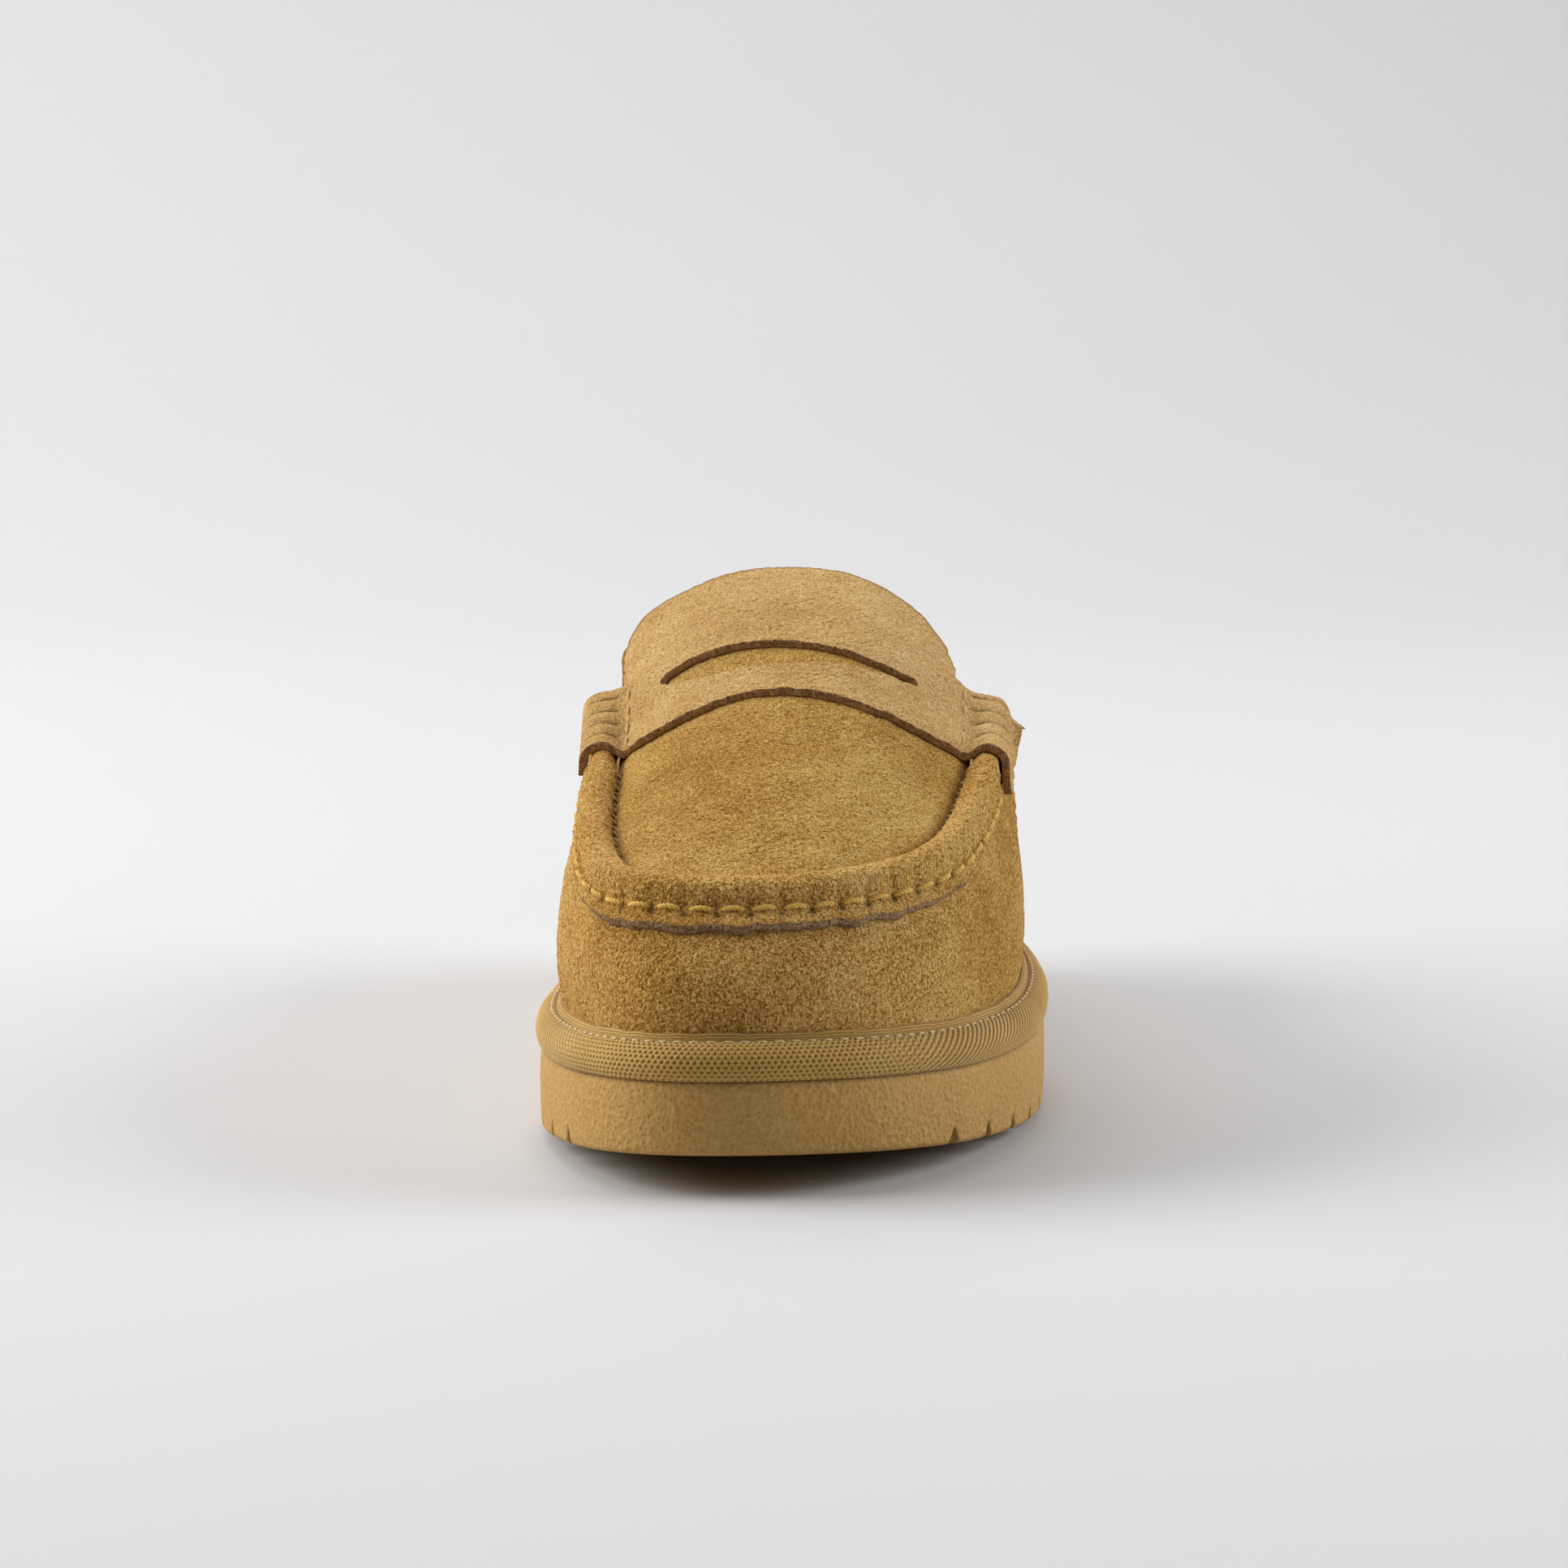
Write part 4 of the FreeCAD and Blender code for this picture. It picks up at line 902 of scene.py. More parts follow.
def build_heel_strip():
    foot = 0.3
    across, rise = share_grid(80, 130, row_range=(-1, 1), col_range=(foot, 0.97))
    rounding = np.minimum(1, (rise - foot) / 0.07 + 0.35) ** 0.4
    along = strip_half_width(rise) * rounding * across
    base, normal = wall(along, rise), wall_normal(along, rise)
    relief = (suede_relief(base, 83, soft=0.2, grain=0.08) * 0.6
              - 0.2 * bell(np.abs(across) - STRIP_STITCH, 0.06))
    sheet_piece("heel_strip_suede", push(base, normal, STRIP_FACE + relief),
                base + normal * 0.1, [SUEDE, CUT_EDGE], "heel_strip")


# Section of the collar binding from its inner to its outer edge:
# (mm outward, mm up, share of the puckering)
BINDING_SECTION = (
    (-4.35, -5.4, 0.4), (-4.4, -3.0, 0.6), (-4.35, -0.9, 0.8), (-3.5, 0.55, 1), (-2.0, 1.0, 1),
    (-0.2, 0.6, 1), (0.5, -0.9, 0.8), (0.55, -3.0, 0.6), (0.5, -5.2, 0.4))


def build_collar_binding():
    samples = count(900)
    along = np.linspace(param_at(TOPLINE, 122.9, 1), 1 + param_at(TOPLINE, 123.3, -1), samples)
    edge = wall(along, 1.0)
    outward = with_height(SOLE.outward(along), np.zeros(samples))
    up = np.array([0, 0, 1.0])
    wrapped = along % 1.0
    from_seam = np.where(wrapped < 0.5, wrapped - SEAMS[-1][0],
                         SEAMS[1][0] - wrapped) * PERIMETER
    over_vamp = lap(from_seam) * smooth(-OVERLAP - 1.0, -OVERLAP + 0.6, from_seam)
    length = arc_lengths(edge)
    # both ends dive and thin out to slip under the strap
    end_share = 1 - smooth(0.0, 11.0, np.minimum(length, length[-1] - length))
    sink, slim = 3.4 * end_share, 1 - 0.75 * end_share
    pucker = 0.10 * np.sin(length / 3.1) + 0.14 * noise(edge, 7, 91)

    def section(thick, wobble):
        rows = []
        for out, rise, share in BINDING_SECTION:
            outside = out > -0.5
            if -4 < out < -0.3:
                swell_out, swell_up = 0.3 * np.sign(out + 2), 1.0
            else:
                swell_out, swell_up = (1.0 if outside else -1.0), 0.15
            swell = thick * slim + wobble * pucker * share
            shift = over_vamp + 0.05 if outside else 0.0
            rows.append(push(edge, outward, out + shift + swell_out * swell)
                        + up * (rise - sink + swell_up * swell)[:, None])
        return control_spline(np.stack(rows, 1), count(46))

    outer, inner = section(1.15, 1.0), section(0.15, 0.0)
    normal = grid_normal(outer, probe=(samples // 2, outer.shape[1] // 2))
    sheet_piece("collar_binding_suede",
                push(outer, normal, suede_relief(outer, 95, soft=0.0, grain=0.07)), inner,
                [SUEDE, CUT_EDGE], "collar_binding")


# ------------------------------------------------------------------ apron
APRON_DIMPLES = (                             # (x, dist, radius, height)
    (12, 74, 7, -0.5), (-16, 82, 9, 0.35), (-4, 62, 10, 0.4), (20, 60, 9, -0.35),
    (-25, 60, 8, -0.3), (6, 48, 12, 0.25), (26, 78, 8, 0.35), (3, 70, 6, -0.3))


def apron_patch(rows, cols, inset):
    """Grid of (x, dist) inside the groove: a Coons patch, rows across, columns backward."""
    across, back = share_grid(rows, cols)
    back = back ** 1.15
    left_front, right_front = param_at(TOPLINE, 31.0, -1), param_at(TOPLINE, 35.0, 1)
    left_back, right_back = (param_at(TOPLINE, APRON_BACK, side) for side in (-1, 1))

    def line(along):
        return groove(along, inset)[..., :2]

    front = line(left_front + (right_front - left_front) * across)
    left = line(left_front + (left_back - left_front) * back)
    right = line(right_front + (right_back - right_front) * back)
    corners = [line(along) for along in (left_front, right_front, left_back, right_back)]
    across, back = across[..., None], back[..., None]
    rear = corners[2] + (corners[3] - corners[2]) * across
    return ((1 - back) * front + back * rear + (1 - across) * left + across * right
            - ((1 - across) * (1 - back) * corners[0] + across * (1 - back) * corners[1]
               + (1 - across) * back * corners[2] + across * back * corners[3]))


def build_apron():
    xy = apron_patch(560, 640, inset=3.7)
    x, dist = xy[..., 0], xy[..., 1]
    surface = with_height(xy, instep_z(x, dist))
    normal = grid_normal(surface)
    normal *= np.sign(normal[..., 2:3])
    from_edge = np.minimum(
        np.minimum(x - groove_x(dist, -1), groove_x(dist, 1) - x) * 0.93, dist - GROOVE_START)
    relief = suede_relief(surface, 111, soft=0.55, grain=0.085) * smooth(0, 7, from_edge)
    relief = relief + dimples(x, dist, APRON_DIMPLES) * smooth(0, 8, from_edge)
    # short scallops where each stitch pulls the panel into the roll
    relief = relief + (0.22 * np.sin(TAU * dist / STITCH_PITCH)
                       * np.exp(-np.clip(from_edge, 0, None) / 2.2) * smooth(30, 45, dist))
    # the edge turns down into the groove, less at the toe
    toe = 1 - smooth(24, 40, dist)
    drop = (-0.85 * (1 - smooth(0.0, 2.8, from_edge)) ** 1.5 * (1 - toe)
            - 0.5 * (1 - smooth(0, 2.2, from_edge)) * toe)
    under_strap = smooth(APRON_BACK - 34, APRON_BACK - 26, dist)
    outer = push(surface, normal, relief * (1 - 0.7 * under_strap))
    outer[..., 2] += drop
    inner = surface - normal * 1.6
    inner[..., 2] += drop * 0.6
    sheet_piece("apron_suede", outer, inner, [SUEDE_LIT_APRON, CUT_EDGE], "apron",
                # painted shade where the apron's edge turns down into the groove by the roll
                painted_shade=(1 - smooth(0.2, 1.8, from_edge)) * 0.45)


def build_apron_lining():
    xy = apron_patch(120, 120, inset=5.4)
    z = instep_z(xy[..., 0], xy[..., 1])
    upper = with_height(xy, z - 2.1)
    lower = with_height(xy, z - 3.05 + 0.15 * noise(upper, 16, 117))
    sheet_piece("apron_lining_leather", upper, lower, [LINING], "apron_lining",
                bulge=0.1)


# ------------------------------------------------------------------ rolled seam
def roll_centre(along):
    xy = TOPLINE(along)
    return with_height(xy, topline_z(xy[..., 1]))


ROLL_ENDS = [param_at(TOPLINE, SEAM_ENDS, side) for side in (-1, 1)]
ROLL_ALONG = np.linspace(*ROLL_ENDS, 6000)
ROLL_ARC = arc_lengths(roll_centre(ROLL_ALONG))


def stitch_starts():
    """Arc lengths along the roll where the heavy stitches start."""
    along = np.linspace(*(param_at(TOPLINE, 88.5, side) for side in (-1, 1)), 4000)
    length = arc_lengths(roll_centre(along))
    marks = np.arange(int(length[-1] // STITCH_PITCH) + 1) * STITCH_PITCH
    return np.interp(np.interp(marks, length, along), ROLL_ALONG, ROLL_ARC)


STITCH_ARC = stitch_starts()
# Degrees round the roll from its inner to its outer side, then shares of the skirt's drop.
ROLL_ANGLES = (206, 184, 160, 135, 110, 85, 60, 35, 10, -12)
SKIRT_OUTER, SKIRT_INNER = (0.24, 0.57, 0.84), (0.24, 0.62, 1.0)


def build_rolled_seam():
    """Leather rolled over the cord, with a cut skirt below it on the wall."""
    samples = count(1500)
    arc = np.linspace(0, ROLL_ARC[-1], samples)
    along = np.interp(arc, ROLL_ARC, ROLL_ALONG)
    edge, outward = TOPLINE(along), TOPLINE.outward(along)
    dist = edge[:, 1]
    centre_z = topline_z(dist)
    radius = ROLL_RADIUS - pinch(dist)
    stitched = ((arc > STITCH_ARC[0]) & (arc < STITCH_ARC[-1])).astype(float)
    # -0.5..0.5 from one stitch start to the next
    phase = np.interp(arc, STITCH_ARC, np.arange(len(STITCH_ARC)))
    phase = phase - np.floor(phase) - 0.49
    hole = bell(np.minimum(np.abs(phase - 0.5), np.abs(phase + 0.5)), 0.13) * stitched
    skirt = 3.0 + 0.8 * smooth(30, 60, dist) + (1 - smooth(38, 58, dist)) * 1.5
    wobble = 0.5 * line_noise(arc, 5.5, 131) + 0.35 * line_noise(arc, 2.3, 133)
    height = wall_height(along)

    def section(depth, off, outer):
        columns = []
        for degrees in ROLL_ANGLES:
            angle = math.radians(degrees)
            swell = 0.0
            if outer:
                # plump between the holes and drawn in at each one, gathered on the inside
                swell = ((0.12 * np.cos(TAU * phase) * stitched - 0.20 * hole)
                         * bell(degrees + 12, 60.0)
                         + 0.30 * np.cos(TAU * arc / STITCH_PITCH)
                         * bell(degrees - 190, 45.0) * smooth(30, 48, dist))
            reach = radius - depth + swell
            columns.append(with_height(push(edge, outward, reach * math.cos(angle)),
                                       centre_z + reach * math.sin(angle)))
        for j, share in enumerate(SKIRT_OUTER if outer else SKIRT_INNER):
            drop = skirt * share + (wobble * share if j else 0)
            out = off + 0 * wobble
            if outer and j == 0:
                out = out - 0.35 * hole
            if j == 2:
                out += (0.12 + 0.22 * np.maximum(wobble, 0) if outer
                        else 0.1 + 0.25 * np.abs(wobble))
            point = wall_at(along, 1 - drop / height, out)
            reach = ((point[:, :2] - edge) * outward).sum(1)
            columns.append(with_height(push(edge, outward, reach), point[:, 2]))
        return control_spline(np.stack(columns, 1), count(72))

    outer = section(0.0, ROLL_WALL + 0.12, True)
    inner = section(ROLL_WALL, 0.12, False)
    cols = outer.shape[1]
    normal = grid_normal(outer, probe=(samples // 2, cols // 3))
    relief = suede_relief(outer, 137, soft=0.12, grain=0.085) + 0.16 * noise(outer, 4.2, 139)
    outer = push(outer, normal, relief)
    below = centre_z[:, None] - outer[..., 2]
    reach = ((outer[..., :2] - edge[:, None]) * outward[:, None]).sum(-1)
    thread_drop = (centre_z - wall_top(along)[:, 2] + 0.75)[:, None]
    # painted shade: dark in each stitch hole on the outer side, and down the inner side into the
    # crease by the apron
    hole_shade = 0.95 * hole[:, None] * bell(below - thread_drop, 0.55) * (reach > 0)
    crease_shade = (reach < -2.6) * smooth(0.4, 2.2, below)
    rim = smooth(cols - 3.0, cols - 0.8, np.arange(cols))[None] * (0.55 + 0.45 * wobble[:, None])
    sheet_piece("rolled_seam_suede", outer, inner, [SUEDE, FLUFFY_EDGE], "rolled_seam",
                painted_shade=np.maximum(hole_shade, 0.4 * crease_shade), rim=np.clip(rim, 0, 1), bulge=0.28)


def build_seam_cord():
    """Three-lobed filler cord inside the roll."""
    start, end = ROLL_ENDS
    path = roll_centre(np.linspace(start + (end - start) * 0.004,
                                   start + (end - start) * 0.996, count(400)))
    sides = 16
    angle = np.arange(sides) / sides * TAU
    lobes = 1 + 0.06 * np.sin(3 * (angle[None] + arc_lengths(path)[:, None] * 0.9))
    radii = (CORD_RADIUS - pinch(path[:, 1]))[:, None] * lobes
    points, quads, tris = rod(path, *path_frame(path), radii, sides)
    make_mesh("seam_cord_filler", points, quads, tris, [CORD], "seam_cord")


def build_rolled_seam_thread():
    random = np.random.RandomState(7)
    paths, share = [], np.linspace(0, 1, 15)
    for start, end in zip(STITCH_ARC[:-1], STITCH_ARC[1:]):
        along = np.interp(start + (end - start) * (0.12 + 0.74 * share), ROLL_ARC, ROLL_ALONG)
        tilt = random.uniform(-0.25, 0.25)
        drop = 0.75 + tilt * (share - 0.5) + random.uniform(-0.12, 0.12)
        out = ROLL_WALL + 0.12 - 0.75 + 1.22 * arch(15, 0.55)
        paths.append(wall_at(along, 1 - drop / wall_height(along), out))
    thread_piece("rolled_seam_thread", paths, 0.55, THREAD_GOLD, "rolled_seam_stitching",
                 twist=2.3)

    # short marks down in the crease on the inner side, two to a stitch
    half = STITCH_PITCH / 2
    paths, share = [], np.linspace(0, 1, 9)[:, None]
    for middle in np.arange(STITCH_ARC[0] + half, STITCH_ARC[-1] - 2.0, half):
        along = np.interp(middle + np.linspace(-0.55, 0.55, 9), ROLL_ARC, ROLL_ALONG)
        if TOPLINE(along[4])[1] < 36:
            continue
        outer_line = groove(along, 3.35)
        path = outer_line + (groove(along, 4.75) - outer_line) * share
        path[:, 2] += -0.55 + 0.5 * arch(9, 1) + random.uniform(-0.12, 0.12)
        paths.append(path)
    thread_piece("rolled_seam_thread_inner", paths, 0.30, THREAD_TAN, "rolled_seam_stitching",
                 plies=2, twist=2.0, sides=6)


# ------------------------------------------------------------------ saddle strap with its slot
def through(*points):
    return Spline(*zip(*points))


# Edges of the strap and its slot as (x, dist).
strap_front = through(
    (-45, 95.6), (-37.8, 92.6), (-31, 91.0), (-22, 90.2), (-13.9, 90.0), (-5.6, 89.9),
    (1.3, 89.4), (9.5, 88.6), (17, 88.0), (24.6, 88.0), (32.9, 89.2), (38.6, 91.4), (45, 94.6))
strap_rear = through(
    (-45, 122.2), (-34, 122.6), (-21, 122.4), (-12.7, 121.7), (-1.5, 121.2), (9, 121.0),
    (19.7, 120.4), (30, 120.0), (45, 120.2))
slot_rear = through(
    (-29.4, 111.6), (-22.5, 111.7), (-14.1, 110.9), (-5.7, 110.0), (1.3, 109.1), (9.7, 107.9),
    (18.1, 107.0), (25.0, 106.8), (28.0, 106.9))
slot_front = through(
    (-29.4, 108.6), (-25.9, 105.8), (-20.2, 102.9), (-10.5, 100.7), (-1.5, 100.0), (9.6, 101.2),
    (16.6, 102.6), (22.6, 103.8), (28.0, 104.7))
SLOT_LEFT, SLOT_RIGHT = -29.8, 28.3           # x of the slot's ends
STRAP_ROWS = 90
RIB_PITCH = 5.9                               # gathered ribs where the strap crosses the rolls


def strap_surface(lift):
    """Full strap surface, rows from its front to its rear edge, columns across the foot."""
    share = np.linspace(0, 1, STRAP_ROWS)

    def dist_at(x):
        return strap_front(x) + (strap_rear(x) - strap_front(x)) * share

    def side_columns(side):
        lateral = side > 0
        dist = dist_at(42.0 * side)
        along = param_at(TOPLINE, dist, side)
        edge, outward = TOPLINE(along), TOPLINE.outward(along)
        radius = ROLL_RADIUS - pinch(edge[:, 1]) + 0.16 + lift
        # the lateral end flares outward to the rear; the medial end stops higher
        flare = smooth(0.4, 1.0, share) * lateral
        tip = smooth(0.84, 1.0, share) * lateral
        shorter = 0.0 if lateral else 3.6
        section = [(4.2 + lift + 2.7 * flare - 0.11 * shorter + 0.3 * tip,
                    -6.6 + shorter + 6.1 * flare - 2.6 * tip),
                   (3.75 + lift + 0.9 * flare, -3.4 + 0.5 * shorter + 2.2 * flare)]
        for angle in np.radians((5, 30, 60, 92)):
            section.append((radius * np.cos(angle) + 0.75 * max(0.0, np.cos(angle)),
                            radius * np.sin(angle)))
        columns = [with_height(push(edge, outward, out), topline_z(edge[:, 1]) + up)
                   for out, up in section]
        edge_x = groove_x(np.minimum(dist, 121.5), side)
        for part in (0.985, 0.93, 0.85, 0.72, 0.56, 0.38, 0.19):
            x = edge_x * part
            dist = dist_at(x)
            z = instep_z(x, np.minimum(dist, 121.9)) + (0.2 + lift) * (1 + 0.06 * part)
            columns.append(np.stack([x, dist, z], -1))
        return columns

    middle_x, dist = np.zeros(STRAP_ROWS), dist_at(0)
    middle = np.stack([middle_x, dist, instep_z(middle_x, dist) + 0.2 + lift], -1)
    columns = side_columns(-1) + [middle] + side_columns(1)[::-1]
    return control_spline(np.stack(columns, 1), count(1300))


def at_share(surface, share):
    """Points of the strap surface at shares of its width, column by column."""
    place = np.clip(share * (STRAP_ROWS - 1), 0, STRAP_ROWS - 1 - 1e-9)
    row = np.floor(place).astype(int)
    part = (place - row)[..., None]
    col = np.broadcast_to(np.arange(surface.shape[1]), share.shape)
    return surface[row, col] * (1 - part) + surface[row + 1, col] * part


def slot_edges(x, inside):
    """Shares of the strap's width at the slot's front and rear edge, equal outside it."""
    clipped = np.clip(x, SLOT_LEFT, SLOT_RIGHT)
    front, width = strap_front(clipped), strap_rear(clipped) - strap_front(clipped)
    slot_start = (slot_front(clipped) - front) / width
    slot_end = (slot_rear(clipped) - front) / width
    middle = (slot_start + slot_end) / 2

    def blunt(inset, radius):
        short = np.clip(radius - inset, 0, None) / radius
        return np.sqrt(np.clip(1 - short ** 2, 0, 1))

    opening = np.where(inside, blunt(x - SLOT_LEFT, 1.3) * blunt(SLOT_RIGHT - x, 0.9), 0)
    jitter = 0.010 * line_noise(x, 3.5, 151) + 0.006 * line_noise(x, 1.2, 152)
    centre = np.where(inside, middle, np.where(x < 0, np.interp(SLOT_LEFT, x, middle),
                                               np.interp(SLOT_RIGHT, x, middle)))
    low = centre + (slot_start - centre) * opening + jitter * opening
    high = centre + (slot_end - centre) * opening + jitter * opening * 0.7
    return np.where(inside, low, centre), np.where(inside, high, centre)


def strap_relief(grid):
    normal = grid_normal(grid, probe=(grid.shape[0] // 2, grid.shape[1] // 2))
    relief = suede_relief(grid, 161, soft=0.3, grain=0.08)
    x, dist = grid[..., 0], grid[..., 1]
    over = np.maximum(1 - smooth(-39.8, -37.8, x), smooth(39.4, 41.6, x))
    rib = np.abs(np.sin(math.pi * (dist - 94.0) / RIB_PITCH)) ** 0.6
    window = smooth(94.0, 97.5, dist) * (1 - smooth(117.0, 120.0, dist))
    strength = (0.5 + 0.45 * bell(np.abs(x) - 41.0, 3.2)) * over * window
    relief = relief * (1 - 0.6 * over) + strength * (rib - 0.75)
    # the second value is painted shade in the valleys between the ribs
    return push(grid, normal, relief), np.clip(strength * (0.75 - rib) * 1.3, 0, 1)


def build_strap():
    """Two strips, in front of and behind the slot, joined beyond its ends."""
    top, under = strap_surface(STRAP_THICK), strap_surface(0.0)
    cols = top.shape[1]
    x = top[STRAP_ROWS // 2, :, 0]
    inside = (x > SLOT_LEFT) & (x < SLOT_RIGHT)
    first_col, last_col = np.where(inside)[0][[0, -1]]
    low_edge, high_edge = slot_edges(x, inside)
    ragged = 0.012 * line_noise(x, 4.5, 153) + 0.007 * line_noise(x, 1.4, 154)
    step_a = np.linspace(0, 1, count(110))[:, None]
    step_b = np.linspace(0, 1, count(90))[:, None]
    share_a = (0.012 + ragged)[None] * (1 - step_a) + low_edge[None] * step_a
    share_b = high_edge[None] * (1 - step_b) + (0.994 - np.abs(ragged))[None] * step_b
    outer_a, rib_shade_a = strap_relief(at_share(top, share_a))
    outer_b, rib_shade_b = strap_relief(at_share(top, share_b))
    inner_a, inner_b = at_share(under, share_a), at_share(under, share_b)
    ids_a = np.arange(share_a.size).reshape(-1, cols)
    ids_b = np.arange(share_b.size).reshape(-1, cols) + share_a.size
    shared = np.ones(cols, bool)
    shared[first_col:last_col + 1] = False
    for strip_a, strip_b in ((outer_a, outer_b), (inner_a, inner_b), (ids_a, ids_b)):
        strip_b[0, shared] = strip_a[-1, shared]
    outer = np.concatenate([outer_a.reshape(-1, 3), outer_b.reshape(-1, 3)])
    inner = np.concatenate([inner_a.reshape(-1, 3), inner_b.reshape(-1, 3)])
    total = len(outer)

    def near(distance, reach):
        return 1 - smooth(0.0, reach, distance * 28)

    rim_a = np.maximum(near(share_a - share_a[:1], 0.3), near(share_a[-1:] - share_a, 0.2) * inside)
    rim_b = np.maximum(near(share_b - share_b[:1], 0.3) * inside, near(share_b[-1:] - share_b, 0.3))

    quads = np.concatenate([
        np.stack([ids[:-1, :-1], ids[1:, :-1], ids[1:, 1:], ids[:-1, 1:]], -1).reshape(-1, 4)
        for ids in (ids_a, ids_b)])
    outside_loop = np.concatenate([ids_a[0, :], ids_a[1:, -1], ids_b[1:, -1], ids_b[-1, -2::-1],
                                   ids_b[-2:0:-1, 0], ids_a[-1, :1], ids_a[-2:0:-1, 0]])
    slot_loop = np.concatenate([ids_a[-1, first_col - 1:last_col + 2],
                                ids_b[0, last_col:first_col - 1:-1]])
    points, sides = [outer, inner], [np.zeros(total), np.ones(total)]
    bands, first = [], 2 * total
    for loop, centre, sign in ((outside_loop, outer.mean(0), 1),
                               (slot_loop, outer[slot_loop].mean(0), -1)):
        ring, inner_ring = outer[loop], inner[loop]
        away = unit(np.cross(np.roll(ring, -1, 0) - np.roll(ring, 1, 0), ring - inner_ring))
        away *= np.sign((away * (ring - centre) * sign).sum())
        new_points, shares, band = edge_band(
            loop, loop + total, ring, inner_ring, away, 5,
            lambda k, share: (math.sin(math.pi * share) ** 0.7 * 0.12
                              + 0.08 * noise(ring, 0.9, 170 + k)[:, None]), first)
        points += new_points
        sides += shares
        bands.append(band[:, ::sign])
        first += len(loop) * len(new_points)
    faces = np.concatenate([quads, quads[:, ::-1] + total] + bands)
    face_slots = (np.arange(len(faces)) >= 2 * len(quads)).astype(int)
    painted_shade, rim = np.zeros(first), np.zeros(first)
    # painted shade between the ribs, on both faces of the strap
    painted_shade[:2 * total] = np.tile(np.concatenate([rib_shade_a.ravel(), rib_shade_b.ravel()]) * 0.8, 2)
    rim[:total] = 0.7 * np.concatenate([rim_a.ravel(), rim_b.ravel()])
    # the second strip's copies of the shared points belong to no face
    used = np.zeros(first, bool)
    used[faces.ravel()] = True
    renumbered = np.cumsum(used) - 1
    make_mesh("saddle_strap_suede", np.concatenate(points)[used], renumbered[faces], NO_TRIS,
              [SUEDE_LIT_TOP, CUT_EDGE], "saddle_strap", face_slots,
              {"side": np.concatenate(sides)[used], "painted_shade": painted_shade[used], "rim": rim[used]})


def build_strap_thread():
    """One stitch per rib on each side, in the crease inside the roll."""
    paths = []
    for side in (-1, 1):
        for k in range(4):
            dist = 95.2 + RIB_PITCH * k + 0.5 + 4.4 * np.linspace(0, 1, 13)
            along = param_at(TOPLINE, dist, side)
            xy = TOPLINE(along) - 5.0 * TOPLINE.outward(along)
            z = instep_z(xy[:, 0], xy[:, 1]) + STRAP_THICK + 0.85 * arch(13) - 0.55
            paths.append(with_height(xy, z))
    thread_piece("strap_end_thread", paths, 0.36, THREAD_TAN, "strap_end_stitching", twist=2.6)


# ------------------------------------------------------------------ tongue
# Edge as (x, dist) from the medial front round the back; both ends run under the strap.
TONGUE_EDGE = [
    (-37.6, 120.6), (-38.3, 125.0), (-38.6, 129.5), (-38.7, 137.5), (-37.6, 145.0),
    (-35.2, 148.6), (-31.2, 149.6), (-25.2, 149.0), (-17.3, 149.3), (-7.4, 149.9), (2.8, 149.8),
    (10.0, 148.9), (17.1, 147.0), (23.7, 144.4), (29.4, 141.4), (33.5, 137.6), (36.0, 132.8),
    (37.2, 128.0), (37.0, 123.8), (36.5, 119.8)]
TONGUE_DIMPLES = (                            # (x, dist, radius, height)
    (6, 131, 9, -0.55), (19, 128, 7, 0.4), (-20, 132, 8, -0.35), (0, 141, 10, 0.35),
    (24, 134, 6, -0.4), (-6, 128, 6, 0.35))
TONGUE_FRONT = APRON_BACK + 0.35
tongue_knots = arc_lengths(np.array(TONGUE_EDGE))
tongue_edge = Spline(tongue_knots / tongue_knots[-1], TONGUE_EDGE)


def tongue_grid(drop, shrink, rows, cols, wavy=0.0):
    """Rows run from the front line back to the edge, columns round the edge."""
    back, around = share_grid(rows, cols)
    edge, step = tongue_edge(around), 1e-3
    tangent = unit(tongue_edge(around + step) - tongue_edge(around - step))
    wave = wavy * (line_noise(around * 130, 4.2, 181) + 0.7 * line_noise(around * 130, 1.3, 182))
    inset = shrink + wave * smooth(0.0, 0.06, around) * (1 - smooth(0.94, 1.0, around))
    edge = push(edge, np.stack([tangent[..., 1], -tangent[..., 0]], -1), inset)
    left = max(groove_x(TONGUE_FRONT, -1) + 0.15, -37.0) + shrink
    right = min(groove_x(TONGUE_FRONT, 1) - 0.15, 36.2) - shrink
    front = np.stack([left * (1 - around) + right * around,
                      np.full_like(around, TONGUE_FRONT)], -1)
    xy = push(front, edge - front, back)
    return with_height(xy, instep_z(xy[..., 0], xy[..., 1]) + drop), back, around


def instep_normal(x, dist):
    step = 0.05
    return unit(np.stack([instep_z(x - step, dist) - instep_z(x + step, dist),
                          instep_z(x, dist - step) - instep_z(x, dist + step),
                          np.full_like(x, 2 * step)], -1))


def blend_tongue(piece):
    """Works out the ends of the flex line behind the strap, but only bakes the piece's transform
    into its mesh; nothing is bent.
    """
    start, end = ((0.0, (dist + Y_SHIFT) / 1000, float(crown_z(dist)) / 1000)
                  for dist in (121.6, 126.6))
    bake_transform(piece)


